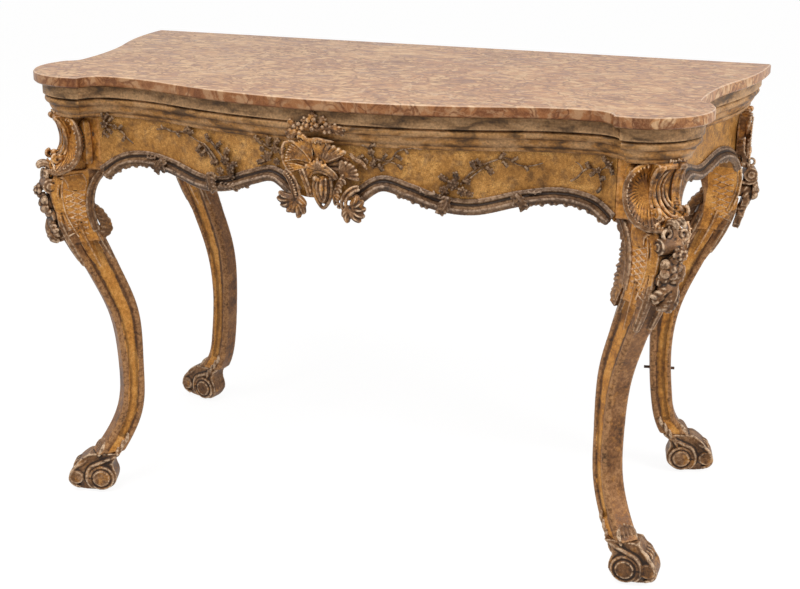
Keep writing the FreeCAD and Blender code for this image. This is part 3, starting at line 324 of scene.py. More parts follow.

# %% [markdown]
# The cornice is a run of plain mouldings, so its colour goes by height: a darker fascia under the slab, a
# paler round below it, and painted shade in each step between the mouldings.

# %% Cornice
cornice = Finish("cornice_with_painted_shade")
height = cornice.math("MULTIPLY", cornice.math("SUBTRACT", cornice.axis("Z"), 0.797), 1 / 0.060)
# the near-black stops at 0.13, 0.385 and 0.62 are painted shade in the steps of the profile
bands = cornice.ramp(height, (0.00, (0.16, 0.07, 0.02)), (0.08, (0.42, 0.19, 0.048)),
    (0.13, (0.07, 0.03, 0.01)), (0.24, (0.44, 0.20, 0.048)), (0.36, (0.30, 0.13, 0.030)),
    (0.385, (0.05, 0.022, 0.008)), (0.42, (0.26, 0.12, 0.036)), (0.55, (0.42, 0.21, 0.065)),
    (0.62, (0.06, 0.028, 0.012)), (0.67, (0.46, 0.27, 0.13)), (0.72, (0.30, 0.165, 0.072)),
    (0.97, (0.22, 0.115, 0.042)))
age = cornice.noise(30.0, 7.0, 0.4, cornice.stretch(0.6, 0.6, 1.6))
fine = cornice.noise(240.0, 4.0)
wood = cornice.blend(cornice.step(age, 0.44, 0.64, 0.0, 0.65), bands, (0.52, 0.31, 0.15, 1))
wood = cornice.blend(cornice.step(age, 0.50, 0.34, 0.0, 0.85), wood, (0.055, 0.028, 0.012, 1))
wood = cornice.blend(0.35, wood, cornice.ramp(fine, (0.33, (0.0, 0.0, 0.0)), (0.67, (1.0, 1.0, 1.0))),
    "OVERLAY")
cornice_finish = cornice.finish(wood, cornice.step(fine, 0.3, 0.7, 0.42, 0.62),
    cornice.relief(fine, 0.0008, 0.4), metal=0.10)

# %% Plain wood and iron
plank = Finish("bare_wood")
figure = plank.noise(14.0, 6.0, 0.6, plank.stretch(1.0, 8.0, 8.0))
plank_finish = plank.finish(plank.ramp(figure, (0.35, (0.10, 0.055, 0.03)), (0.65, (0.26, 0.16, 0.09))),
    0.7, plank.relief(figure, 0.0005, 0.4))
iron = Finish("old_iron")
rust = iron.noise(300.0, 4.0)
iron_finish = iron.finish(iron.ramp(rust, (0.4, (0.05, 0.045, 0.04)), (0.65, (0.16, 0.07, 0.03))), 0.6,
    iron.relief(rust, 0.0004, 0.6), metal=0.8)

# %% Finishes on the joiner's parts
carved = ("leg", "foot", "bracket", "wing", "carving", "comb", "moulding", "shell", "crest", "cabochon",
          "scroll", "spray", "cluster", "vine", "knots")


def finish_of(node):
    if node == "marble_top":
        return marble_finish
    if node == "repair_pin":
        return iron_finish
    if "cornice" in node:
        return cornice_finish
    if node in ("front_rail", "right_side_rail", "left_side_rail"):
        return panel_finish
    if any(word in node for word in carved):
        return carving_finish
    return plank_finish


for node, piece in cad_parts.items():
    piece.data.materials.clear()
    piece.data.materials.append(finish_of(node))

# %% [markdown]
# A carver cuts every form a little round and a little uneven. Each carved piece is first drawn in
# strokes, tubes that swell and taper like a gouge cut, laid over each other. A remesh then welds the
# strokes into one skin, and smoothing rounds the meetings as wear does. It is quicker than carving
# each flute by hand, and the grooves between strokes stay crisp.

# %% Marks for hollows
def mark_hollows(piece, rounds=10, size=0.0011):
    """Store how deep each point lies below its smoothed surroundings, about 1 in a groove, -1 on a ridge."""
    mesh = piece.data
    count = len(mesh.vertices)
    spots = np.empty(count * 3)
    mesh.vertices.foreach_get("co", spots)
    spots = spots.reshape(-1, 3)
    outward = np.empty(count * 3)
    mesh.vertices.foreach_get("normal", outward)
    outward = outward.reshape(-1, 3)
    ends = np.empty(len(mesh.edges) * 2, int)
    mesh.edges.foreach_get("vertices", ends)
    a, b = ends.reshape(-1, 2).T
    share = np.bincount(a, minlength=count) + np.bincount(b, minlength=count)
    soft = spots.copy()
    for _ in range(rounds):
        soft = np.stack([np.bincount(a, soft[b, k], count) + np.bincount(b, soft[a, k], count)
                         for k in range(3)], 1) / np.maximum(share, 1)[:, None]
    depth = ((soft - spots) * outward).sum(1) / size
    layer = mesh.attributes.new("hollow", "FLOAT", "POINT")
    layer.data.foreach_set("value", depth.astype(np.float32))
    return spots, outward


def mark_gold(piece, values):
    layer = piece.data.attributes.new("golden", "FLOAT", "POINT")
    layer.data.foreach_set("value", np.asarray(values, np.float32))


# %% Welding and finishing a carving
def weld(piece, grain, soften):
    """Weld overlapping forms into one skin and round it, all applied."""
    pick(piece)
    skin = piece.modifiers.new("weld", "REMESH")
    skin.mode = "VOXEL"
    skin.voxel_size = grain
    skin.use_smooth_shade = True
    worn = piece.modifiers.new("worn", "SMOOTH")
    worn.factor = 0.5
    worn.iterations = soften
    for step in ("weld", "worn"):
        bpy.ops.object.modifier_apply(modifier=step)
    bpy.ops.object.shade_smooth()


def hand_over(piece, node, material):
    """Give a finished piece its material and its body, and hide the joiner's node it replaces."""
    piece.data.materials.clear()
    piece.data.materials.append(material)
    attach(piece, "frame")
    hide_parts(node)
    bpy.ops.object.select_all(action="DESELECT")
    print(piece.name, len(piece.data.polygons))

# %% [markdown]
# Every stroke is drawn flat first, in millimetres: along, up, and how proud it stands of the ground.
# A dense smooth line runs through its few points, and its ends are rounded off.

# %% Strokes
def smooth(points, step=1.6):
    """A dense line through a few points (rows of numbers), rounded like a bent lath."""
    p = np.asarray(points, float)
    if len(p) < 3:
        rows = max(2, int(np.linalg.norm(p[-1][:3] - p[0][:3]) / step) + 1)
        t = np.linspace(0, 1, rows)[:, None]
        return p[0] + (p[-1] - p[0]) * t
    ends = np.vstack([2 * p[0] - p[1], p, 2 * p[-1] - p[-2]])
    rows = [p[:1]]
    for a, b, c, d in zip(ends, ends[1:], ends[2:], ends[3:]):
        count = max(2, int(np.linalg.norm(c[:3] - b[:3]) / step))
        t = (np.arange(count) + 1)[:, None] / count
        rows.append(0.5 * (2 * b + (c - a) * t + (2 * a - 5 * b + 4 * c - d) * t ** 2
                           + (3 * b - a - 3 * c + d) * t ** 3))
    return np.vstack(rows)


def stroke(points, thick, step=1.6):
    """A round tube through points (along, up, proud); thick is one radius or one for each point."""
    p = np.asarray(points, float)
    r = np.broadcast_to(np.asarray(thick, float), len(p))
    rows = smooth(np.column_stack([p, r]), step)
    run = np.concatenate([[0], np.cumsum(np.linalg.norm(np.diff(rows[:, :3], axis=0), axis=1))])
    for reach in (run, run[-1] - run):
        near = np.clip(reach / np.maximum(rows[:, 3], 0.01), 0, 1)
        rows[:, 3] *= np.maximum(np.sqrt(1 - (1 - near) ** 2), 0.12)
    return rows


def aside(line, offset):
    """The same line moved sideways in the plane of the drawing."""
    run = np.gradient(line[:, :2], axis=0)
    run /= np.maximum(np.linalg.norm(run, axis=1), 1e-6)[:, None]
    moved = line.copy()
    moved[:, 0] -= run[:, 1] * offset
    moved[:, 1] += run[:, 0] * offset
    return moved


def rolls(points, parts, taper=(1.0, 1.0)):
    """Several rounds side by side along one line; each part is (sideways, proud, radius)."""
    line = smooth(points)
    size = np.linspace(0, 1, len(line))
    size = np.interp(size, np.linspace(0, 1, len(taper)), taper)
    found = []
    for offset, proud, radius in parts:
        moved = aside(line, offset * size)
        moved[:, 2] += proud * size
        every = 3 if len(moved) > 9 else 1
        found.append(stroke(moved[::every], (radius * size)[::every]))
    return found


def spiral(middle, radius, start, turns, hand, proud, thick, inner=0.18):
    """A volute that winds inwards round its middle."""
    count = max(8, int(abs(turns) * 16))
    t = np.linspace(0, 1, count)
    angle = math.radians(start) + hand * 2 * math.pi * turns * t
    r = radius * (1 - t * (1 - inner))
    line = np.column_stack([middle[0] + r * np.cos(angle), middle[1] + r * np.sin(angle),
                            proud + thick * 0.9 * t])
    return stroke(line, thick * (1 - 0.45 * t))


def leaf(base, tip, width, lobes=4, bend=0.0, proud=3.0, lift=5.0, thick=1.0):
    """A lobed leaf: a rib from base to tip and pairs of tongues that lean towards the tip."""
    base = np.asarray(base, float)
    tip = np.asarray(tip, float)
    run = tip - base
    length = np.linalg.norm(run)
    side = np.array([-run[1], run[0]]) / length
    t = np.linspace(0, 1, 9)
    arch = np.sin(t * math.pi)
    rib = base + run * t[:, None] + side * (bend * arch)[:, None]
    rise = proud + lift * np.sin(t * math.pi * 0.8)
    body = width * 0.20 * thick * (1 - 0.6 * t)
    found = [stroke(np.column_stack([rib, rise]), body + 0.6)]
    for k in range(lobes):
        place = 0.06 + 0.76 * k / max(lobes - 1, 1)
        root = np.array([np.interp(place, t, rib[:, 0]), np.interp(place, t, rib[:, 1])])
        reach = width * 0.5 * (1.0 - 0.45 * place) * (0.75 if k == 0 else 1.0)
        tall = np.interp(place, t, rise)
        for hand in (-1, 1):
            out = side * hand
            ahead = run / length
            points = [root, root + out * reach * 0.55 + ahead * reach * 0.35,
                      root + out * reach * 0.95 + ahead * reach * 0.95]
            heights = [tall - 0.8, tall - 0.2, tall - lift * 0.55]
            fat = width * 0.12 * thick
            found.append(stroke(np.column_stack([points, heights]), [fat * 0.9, fat * 1.15, fat * 0.55]))
    return found


def leaves(rows, widen, *shape):
    """Several leaves of one shape; each row holds base, tip and width."""
    found = []
    for x, z, tip_x, tip_z, width in rows:
        found += leaf((x, z), (tip_x, tip_z), width * widen, *shape)
    return found


def flower(middle, radius, petals=5, proud=2.0, turn=90.0):
    """Petals round a button."""
    found = []
    for k in range(petals):
        angle = math.radians(turn + 360.0 * k / petals)
        out = np.array([math.cos(angle), math.sin(angle)])
        points = [[*(np.asarray(middle) + out * radius * share), proud + rise] for share, rise in
                  ((0.25, radius * 0.20), (0.62, radius * 0.36), (0.92, radius * 0.16))]
        found.append(stroke(points, [radius * 0.20, radius * 0.36, radius * 0.22]))
    found.append(stroke([[middle[0], middle[1], proud], [middle[0], middle[1], proud + radius * 0.55]],
                        radius * 0.27))
    return found


def fringe(points, length, pitch, hand, lean, proud, thick, vary=0.25):
    """A row of small tongues along a line, as on a comb or a ruffled rim."""
    line = smooth(points)
    run = np.concatenate([[0], np.cumsum(np.linalg.norm(np.diff(line[:, :2], axis=0), axis=1))])
    ahead = np.gradient(line[:, :2], axis=0)
    ahead /= np.maximum(np.linalg.norm(ahead, axis=1), 1e-6)[:, None]
    found = []
    for k, where in enumerate(np.arange(pitch * 0.5, run[-1], pitch)):
        spot = np.array([np.interp(where, run, line[:, i]) for i in range(3)])
        way = np.array([np.interp(where, run, ahead[:, i]) for i in range(2)])
        out = np.array([-way[1], way[0]]) * hand
        size = length * (1 + vary * math.sin(2.4 * k + 1.0))
        tip = spot[:2] + out * size + way * size * lean
        mid = spot[:2] + out * size * 0.55 + way * size * lean * 0.25
        found.append(stroke([[*spot[:2], spot[2] + proud], [*mid, spot[2] + proud + thick * 0.5],
                             [*tip, spot[2] + proud]], [thick, thick * 1.05, thick * 0.6]))
    return found


# %% [markdown]
# A carving is laid on its ground by a place function, which takes the drawing's three numbers to
# metres on the table. For the rails, the depth of the curved face is read from the rail itself.

# %% Grounds for the carvings
def rail_ground(node, spread, count, along, side):
    """Drawing to table, on a curved rail: along is its axis, side says which way its face looks."""
    tree = BVHTree.FromObject(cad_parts[node], bpy.context.evaluated_depsgraph_get())
    across = 1 - along
    spots = np.linspace(*spread, count)
    face = []
    for spot in spots:
        start = Vector((0, 0, 0.79))
        start[along] = spot
        start[across] = side
        way = Vector((0, 0, 0))
        way[across] = -side
        face.append(tree.ray_cast(start, way)[0][across])
    slopes = np.gradient(face, spots)

    def place(rows):
        run, up_, proud = rows.T / 1000
        slope = np.interp(run, spots, slopes)
        steep = np.sqrt(1 + slope ** 2)
        found = np.column_stack([run, run, up_])
        found[:, along] = run - side * proud * slope / steep
        found[:, across] = np.interp(run, spots, face) + side * proud / steep
        return found
    return place


on_front = rail_ground("front_rail", (-0.496, 0.496), 249, 0, -1)
on_side = rail_ground("right_side_rail", (-0.128, 0.248), 95, 1, 1)


def facing(x, y, degrees, profile=((0, 0), (900, 0))):
    """Drawing to table, for the front of a piece: across, up, and proud of a front of any profile.

    The profile gives the front's distance out from its corner at some heights.
    """
    side_view = at_place(x, y, degrees)
    heights, fronts = np.array(profile, float).T

    def place(rows):
        across, up_, proud = rows.T
        return side_view(np.column_stack([np.interp(up_, heights, fronts) + proud, up_, across]))
    return place


def at_place(x, y, degrees):
    """Drawing to table, for a flat side of a piece that points out of its corner at an angle.

    The drawing's numbers are then out along the corner, up, and sideways from its middle.
    """
    turn = math.radians(degrees)

    def place(rows):
        out, up_, across = rows.T / 1000
        return np.column_stack([x + out * math.cos(turn) - across * math.sin(turn),
                                y + out * math.sin(turn) + across * math.cos(turn), up_])
    return place


# where the corners stand on the table, and the way they point: x, y and degrees
FRONT_POST = (0.529642, -0.187357, -45)
FRONT_LEG = (0.52045, -0.19655, -45)
BACK_POST = (0.545, 0.304, 0)
BACK_LEG = (0.545, 0.294, 12)
front_corner = at_place(*FRONT_POST)
front_limb = at_place(*FRONT_LEG)
rear_corner = at_place(*BACK_POST)
rear_limb = at_place(*BACK_LEG)


def flank(place, side, half):
    """Drawing to table, for one side of an upright piece: out, up, and proud of that side."""
    def lay(rows):
        out, up_, proud = rows.T
        return place(np.column_stack([out, up_, side * (half + proud)]))
    return lay


def both_flanks(strokes, place, half):
    """The same strokes on both sides of an upright piece."""
    return [(strokes, flank(place, side, half)) for side in (-1, 1)]


def beside(place, shift):
    """The same ground moved sideways, in millimetres."""
    return lambda rows: place(rows + np.array([0, 0, shift]))


def left_of(groups):
    """The same strokes on the left-hand side of the table."""
    mirror = np.array([-1, 1, 1])
    return [(strokes, lambda rows, place=place: place(rows) * mirror) for strokes, place in groups]


def distance_out(spots, corner):
    """How far points lie out from a corner's middle, on either side of the table."""
    x, y, degrees = corner
    turn = math.radians(degrees)
    return (np.abs(spots[:, 0]) - x) * math.cos(turn) + (spots[:, 1] - y) * math.sin(turn)


# %% Strokes to wood
def drawn(name, groups):
    """Make one mesh of tubes from groups of strokes, each group laid on its own ground."""
    line = bpy.data.curves.new(name, "CURVE")
    line.dimensions = "3D"
    line.bevel_depth = 1.0
    line.bevel_resolution = 1
    line.use_fill_caps = True
    for strokes, place in groups:
        for rows in strokes:
            spline = line.splines.new("POLY")
            spline.points.add(len(rows) - 1)
            spots = place(rows[:, :3])
            spline.points.foreach_set("co", np.column_stack([spots, np.ones(len(rows))]).ravel())
            spline.points.foreach_set("radius", rows[:, 3] / 1000)
    piece = bpy.data.objects.new(name, line)
    bpy.context.scene.collection.objects.link(piece)
    pick(piece)
    bpy.ops.object.convert(target="MESH")
    return bpy.context.object


def copy_of(node):
    """A merged copy of a joiner's part, free to be changed."""
    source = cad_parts[node]
    piece = bpy.data.objects.new(node + "_copy", source.data.copy())
    bpy.context.scene.collection.objects.link(piece)
    pick(piece)
    bpy.ops.object.mode_set(mode="EDIT")
    bpy.ops.mesh.select_all(action="SELECT")
    bpy.ops.mesh.remove_doubles(threshold=0.00001)
    bpy.ops.object.mode_set(mode="OBJECT")
    return piece


def carve(name, node, groups, grain, gold=0.0, soften=1, keep=False, mirror=False,
        material=carving_finish):
    """Weld strokes into one carving, over the joiner's part when it is kept; mirror it when asked.

    The gold is one amount, or a rule that takes the points and the ways they face.
    """
    piece = drawn(name, groups)
    if keep:
        blank = copy_of(node)
        pick(piece)
        blank.select_set(True)
        bpy.ops.object.join()
    piece.name = name
    weld(piece, grain, soften)
    spots, outward = mark_hollows(piece)
    mark_gold(piece, gold(spots, outward) if callable(gold) else np.full(len(spots), gold))
    hand_over(piece, node, material)
    if mirror:
        other(piece, node.replace("right", "left"), material)


def other(piece, node, material):
    """The same carving for the left-hand side: mirrored, its faces turned right way out again."""
    twin = bpy.data.objects.new(piece.name.replace("right", "left"), piece.data.copy())
    bpy.context.scene.collection.objects.link(twin)
    pick(twin)
    twin.data.transform(Matrix.Diagonal((-1, 1, 1, 1)))
    bpy.ops.object.mode_set(mode="EDIT")
    bpy.ops.mesh.select_all(action="SELECT")
    bpy.ops.mesh.normals_make_consistent(inside=False)
    bpy.ops.object.mode_set(mode="OBJECT")
    hand_over(twin, node, material)

# %% [markdown]
# The legs are cabriole legs: each flank has a shallow gilt channel between two rounded rims that are
# worn to brown. The joiner's blanks already have the channel. Here they are welded to a soft skin with
# a gilt tongue that runs out of the knee's panel, and the channel is marked as gold.

# %% Legs
def leg_mark(corner, line, ahead):
    """How golden a leg's skin is: gold in the flank's channel, brown on the rims and the front."""
    turn = math.radians(corner[2])
    heights, centres = np.array(line, float).T / 1000
    post_foot = 0.692       # above it stands the post, gilt all over

    def rule(spots, outward):
        high = spots[:, 2]
        off = np.abs(distance_out(spots, corner) - np.interp(high, heights, centres) - ahead)
        wide = np.interp(high, [0.09, 0.4, 0.50, 0.56, 0.60, 0.66],
            [0.0105, 0.0130, 0.014, 0.020, 0.030, 0.034])
        side = np.sign(spots[:, 0])
        sideways = np.abs(outward[:, 1] * math.cos(turn) - outward[:, 0] * side * math.sin(turn))
        channel = 0.05 + 0.95 * np.clip((wide - off) / 0.003, 0, 1) * np.clip((sideways - 0.45) * 4, 0, 1)
        return np.where(high > post_foot, 0.75, channel)
    return rule


shin = ((172, -23), (270, -31), (390, -20.5), (470, 9), (555, 45), (585, 58), (640, 68), (690, 70))
front_shin = ((70, 39.5), (86, 27.5), (117, 3.5)) + shin
back_shin = ((70, 25), (86, 13), (117, -11)) + shin
tongue = [
    stroke([[70, 592, -11.5], [58, 566, -11.5], [45, 540, -11.5], [31, 512, -11.5], [14, 478, -11]],
        [13.5, 14.5, 13, 10.5, 7]),
    stroke([[88, 570, -6], [76, 545, -6], [58, 512, -6], [38, 478, -6], [20, 440, -6]], [8, 9, 8, 6.5, 4]),
    stroke([[30, 575, -6], [20, 548, -6], [4, 515, -6], [-12, 480, -6], [-26, 440, -6]],
        [8, 9, 8, 6.5, 4])]
for side in ("right", "left"):
    for end, limb, corner, line, ahead in (("front", front_limb, FRONT_LEG, front_shin, 0.0),
                                           ("back", rear_limb, BACK_LEG, back_shin, 0.003)):
        node = side + "_" + end + "_leg"
        groups = both_flanks(tongue, limb, 22)
        carve(node + "_worn", node, groups if side == "right" else left_of(groups), grain=0.0025,
              gold=leg_mark(corner, line, ahead), soften=2, keep=True, material=leg_finish)

# %% [markdown]
# The feet are scrolls. A ridge comes down the back of the leg, rolls over the heel and winds round a
# volute with a round eye on each side. The toe is a smooth block, and a notched leaf cuffs the ankle.

# %% Feet
def ring(middle, radius, side, proud, thick):
    angle = np.linspace(0, 2 * math.pi, 20)
    return stroke(np.column_stack([middle[0] + radius * np.cos(angle), middle[1] + radius * np.sin(angle),
                                   np.full(20, side * proud)]), thick)


def foot_strokes(toe):
    """One foot about its dowel: out to the toe, up, and across."""
    found = []
    for side in (-1, 1):
        found += [ring((13, 32), 24, side, 23.5, 3.4), ring((13, 32), 15.5, side, 26, 3.0),
                  stroke([[13, 32, side * 24], [13, 32, side * 29]], 6.4),
                  ring((toe - 17, 34), 12, side, 22.5, 2.8),
                  stroke([[toe - 17, 34, side * 22], [toe - 17, 34, side * 24.5]], 5)]
        found.append(stroke([[-27, 84, side * 17], [-10, 76, side * 21], [14, 66, side * 22.5],
            [34, 56, side * 23], [42, 40, side * 23], [41, 22, side * 22.5], [32, 8, side * 21]],
            [3, 4.4, 4.6, 4.6, 4.4, 4.2, 3]))
        found.append(stroke([[34, 78, side * 19], [50, 66, side * 20.5], [toe - 16, 56, side * 20.5],
            [toe - 6, 40, side * 20.5], [toe - 8, 20, side * 20], [toe - 24, 9, side * 19]],
            [3, 4.2, 4.2, 4.2, 4.0, 3]))
    for across in (-10, 0, 10):
        found.append(stroke([[26, 84, across], [toe - 28, 66, across], [toe - 13, 47, across],
            [toe - 5, 31, across], [toe - 12, 12, across]], [3.4, 5.0, 5.0, 4.6, 3.0]))
    found += [stroke([[toe - 26, 70, a - 5], [toe - 17, 62, a], [toe - 10, 56, a - 4]], [3.4, 4.4, 2.6])
        for a in (-8, 4, 15)]
    return found


cuff = []
for out in (-12, -1, 10, 21):
    high = 112 - 1.3 * out
    cuff.append(stroke([[out + 2, high, 0.4], [out + 5, high - 13, 1.8], [out + 11, high - 26, 0.8]],
        [2.6, 4.6, 2.6]))
    cuff.append(stroke([[out + 3, high - 2, 2.8], [out + 8, high - 20, 4.2]], 1.4))
cuff_front = [stroke([[a * 0.6, 116 - abs(a) * 0.4, 0], [a, 100, 2], [a * 1.1, 84 - abs(a) * 0.2, 1]],
    [2.6, 5, 2.8]) for a in (-16, -8, 0, 8, 16)]
front_dowel = front_limb(np.array([[28.5, 0, 0]]))[0, :2]
back_dowel = rear_limb(np.array([[14, 0, 0]]))[0, :2]
front_ankle = facing(*FRONT_LEG, ((70, 62), (86, 50), (117, 27)))
back_ankle = facing(*BACK_LEG, ((70, 48), (86, 36), (117, 12)))
front_cuffs = both_flanks(cuff, front_limb, 21) + [(cuff_front, front_ankle)]
back_cuffs = both_flanks([row - np.array([14, 0, 0, 0]) for row in cuff], rear_limb, 21)
back_cuffs += [(cuff_front, back_ankle)]


def foot_gold(spots, outward):
    return np.interp(spots[:, 2], [0.0, 0.02, 0.07, 0.12], [0.05, 0.22, 0.12, -0.05])


carve("right_front_scroll_foot", "right_front_foot", [(foot_strokes(72), at_place(*front_dowel, 0))]
    + front_cuffs, grain=0.0016, gold=foot_gold, soften=2, keep=True)
carve("left_front_scroll_foot", "left_front_foot",
    left_of([(foot_strokes(82), at_place(*front_dowel, -21))] + front_cuffs), grain=0.0016, gold=foot_gold,
    soften=2, keep=True)
carve("right_back_scroll_foot", "right_back_foot", [(foot_strokes(82), at_place(*back_dowel, 12))]
    + back_cuffs, grain=0.0016, gold=foot_gold, soften=2, keep=True, mirror=True)

# %% [markdown]
# The middle of the front is a rocaille shell. It isn't even: on the left it opens in two broad lobes
# combed with fine ribs, on the right in deep flutes, and a smaller shell rolls over beside them. The
# whole fan springs from a hood that covers a long drop. All of it is one carving, drawn in strokes.

# %% Shell
def fan(root, tips, thin, fat, low, high, bow=0.0, middle=0.5):
    """Flutes that spread from one root to many tips, thin at the root and fat at the tip."""
    found = []
    root = np.asarray(root, float)
    for tip in tips:
        run = np.asarray(tip, float) - root
        side = np.array([-run[1], run[0]]) * bow
        mid = root + run * middle + side
        found.append(stroke([[*root, low], [*mid, (low + high) / 2 + 3], [*tip, high]],
                            [thin, (thin + fat) * 0.52, fat]))
    return found


def between(a, b, count, bulge=0.0):
    """Points from a to b, bulging sideways in an arc."""
    a = np.asarray(a, float)
    b = np.asarray(b, float)
    t = np.linspace(0, 1, count)[:, None]
    side = np.array([-(b - a)[1], (b - a)[0]])
    return a + (b - a) * t + side * bulge * np.sin(t * math.pi)


shell = []
for x, z, h, r in ((-50, 782, 4, 13), (-35, 793, 7, 13), (-15, 792, 8, 13), (8, 790, 8, 13),
        (28, 785, 7, 13), (44, 770, 5, 12), (52, 752, 5, 12), (-56, 762, 3, 12)):
    shell.append(stroke([[-8, 756, 1], [x, z, h - 2]], [11, r - 2.5]))
shell += fan((-20, 768), between((-55, 798), (-24, 807), 7, 0.08), 1.1, 1.7, 15, 20, -0.10)
shell += fan((-24, 762), between((-74, 762), (-58, 798), 8, 0.10), 1.1, 1.7, 12, 15, -0.12)
shell += fan((-30, 753), between((-66, 742), (-74, 758), 4), 1.1, 1.7, 10, 12, -0.05)
shell.append(stroke([[-20, 766, 18], [-33, 783, 20], [-52, 799, 22], [-64, 801, 20]],
    [1.6, 2.0, 2.6, 2.0]))
shell.append(stroke([[-60, 800, 17], [-73, 794, 17], [-77, 778, 17], [-76, 762, 15], [-68, 744, 13]],
    [2.2, 2.6, 2.8, 2.6, 2.0]))
shell += fan((-4, 766), between((-16, 806), (44, 790), 7, 0.06), 2.4, 5.2, 15, 21, 0.0)
shell += fan((-2, 764), between((-12, 800), (40, 784), 6, 0.06), 1.2, 1.5, 17, 24, 0.0)
shell += fan((30, 746), between((36, 774), (68, 742), 7, 0.22), 2.0, 4.4, 12, 20, 0.0)
shell += [stroke([[x, z, 20], [x + 1, z, 23]], 3.2) for x, z in between((34, 777), (71, 741), 9, 0.24)]
shell.append(stroke([[48, 786, 14], [58, 776, 15], [70, 770, 13], [78, 758, 11]], [3, 4.5, 4, 2]))

# %% Crimped rim and hood
shell.append(stroke([[-46, 812, 21], [-34, 813, 25], [-22, 806, 27], [-6, 808, 26], [10, 806, 24],
    [22, 805, 20]], [2.5, 4.2, 4.6, 4.2, 3.6, 2.0]))
shell += fringe([[-44, 814, 24], [-30, 813, 27], [-19, 807, 28], [-4, 809, 27], [12, 807, 24]], 7, 4.2, -1,
    0.1, 1.0, 1.5)
shell += rolls([[-32, 738, 12], [-24, 750, 17], [-8, 757, 20], [8, 754, 20], [19, 745, 17], [25, 733, 12]],
    ((0, 0, 4.6), (-6.5, -1, 3.2), (5.5, 1, 2.2)), (0.8, 1.0, 1.0, 0.8))
for tip in ((-8, 776), (-15, 770), (-24, 766), (0, 770), (9, 764), (-32, 760)):
    shell.append(stroke([[-6, 757, 20], [(tip[0] - 6) / 2, (tip[1] + 757) / 2, 24], [*tip, 20]],
        [4, 4.0, 2.2]))

# %% Drop under the hood
drop = [
    stroke([[0, 744, 8], [-1, 716, 10], [0, 690, 7]], [13, 16.5, 11]),
    stroke([[-13, 742, 15], [-17, 722, 17], [-13, 700, 16], [-1, 684, 14], [12, 700, 16], [16, 722, 17],
        [13, 742, 15]], 3.6),
    stroke([[-7, 740, 20], [-9, 720, 24], [-5, 704, 23], [0, 697, 21], [6, 706, 23], [8, 722, 23],
        [6, 740, 20]], 2.6),
    stroke([[-1, 738, 22], [-1, 722, 26], [0, 708, 25]], [2.6, 3.2, 2.2]),
    stroke([[-14, 742, 18], [-12, 732, 22]], 6.0)]
carve("shell_drop", "cabochon", [(drop, on_front)], grain=0.0010, gold=0.30)


def shell_leaf(spots, outward):
    """More gold is left on the shell's left half."""
    return np.clip(0.50 + (-0.012 - spots[:, 0]) * 6, 0.10, 0.75)


carve("shell", "shell_cartouche", [(shell, on_front)], grain=0.0011, gold=shell_leaf)

# %% [markdown]
# Small flowers and leaves climb over the fascia above the shell, and two scrolls hang beside the drop.
# They end in jagged leaves, and cover the ends of the serpentine moulding.

# %% Crest
crest = []
for x, z, radius, turn in ((-41, 825, 13, 80), (-15, 835, 14, 60), (12, 829, 12, 100), (-28, 839, 9, 30)):
    crest += flower((x, z), radius, 5, 23, turn)
crest += leaves(((-44, 822, -62, 813, 15), (18, 830, 42, 822, 13), (-22, 838, -10, 852, 12),
    (-2, 836, 8, 846, 11), (6, 824, 30, 834, 11), (-46, 829, -58, 838, 10)), 1.4, 3, 1.5, 22.0, 4, 1.7)
crest.append(stroke([[-56, 818, 21], [-30, 826, 23], [0, 826, 23], [30, 822, 21]], [3, 5, 5, 3]))
carve("shell_crest_flowers", "shell_crest", [(crest, on_front)], grain=0.0010, gold=0.25)

# %% Pendant scrolls
def claws(root, tips, bulge, heights, veins):
    """A jagged leaf: fat tongues that spread from one root, each with a vein along it."""
    found = []
    for tip in tips:
        bend = between(root, tip, 4, bulge)
        found += [stroke(np.column_stack([bend, heights]), [8, 8.5, 7.2, 4.6]),
                  stroke(np.column_stack([bend[1:], veins]), [1.8, 1.8, 1.2])]
    return found


pendants = rolls([[-74, 746, 19], [-62, 737, 21], [-52, 722, 24], [-47, 706, 25], [-45, 692, 25]],
    ((-6, 0, 3.0), (0, 2.0, 3.6), (6, 0, 3.0)), (0.7, 1.0, 1.0, 1.1))
pendants += fringe([[-68, 742, 24], [-54, 727, 28], [-48, 708, 29], [-46, 694, 29]], 5, 4.4, 1, 0.1, 0.5,
    1.5)
pendants += rolls([[-44, 750, 12], [-36, 735, 15], [-28, 716, 16], [-25, 702, 15]], ((-3, 0, 3),
    (3, 0, 3)))
pendants += claws((-47, 700), ((-82, 708), (-86, 697), (-79, 684), (-67, 673), (-57, 672), (-45, 663),
    (-34, 671), (-30, 686)), 0.10, (22, 25, 25, 22), (32, 32, 26))
pendants += rolls([[68, 727, 20], [56, 723, 22], [45, 712, 24], [41, 697, 25], [47, 684, 25],
    [58, 682, 25]], ((-4, 0, 3.4), (3.5, 1.5, 3.4)), (0.8, 1.0, 1.0, 0.9))
pendants += rolls([[40, 748, 17], [32, 733, 18], [25, 716, 18], [23, 700, 18], [27, 688, 18]], ((-2, 0, 4),
    (4, 0, 3)), (0.7, 1.0, 1.0, 0.7))
pendants += fringe([[38, 744, 19], [29, 728, 21], [24, 708, 21], [26, 690, 20]], 9, 6.0, 1, 0.6, 0.5, 2.6)
pendants += fringe([[40, 742, 19], [32, 726, 21], [28, 708, 21]], 6, 6.0, -1, 0.6, 0.5, 2.0)
pendants += claws((53, 692), ((64, 716), (75, 706), (80, 692), (78, 677), (71, 667), (60, 672), (47, 663),
    (40, 673)), -0.12, (20, 24, 25, 22), (31, 32.5, 26))
carve("pendant_leaf_scrolls", "pendant_scrolls", [(pendants, on_front)], grain=0.0011, gold=0.22)

# %% [markdown]
# Along the lower edge of the rails runs the serpentine moulding: a thin upper ridge, a dark hollow,
# a sharp ridge that catches the light, and a full round below it. Leafy tongues break its lower edge,
# and wraps of acanthus cross it where the curve changes.

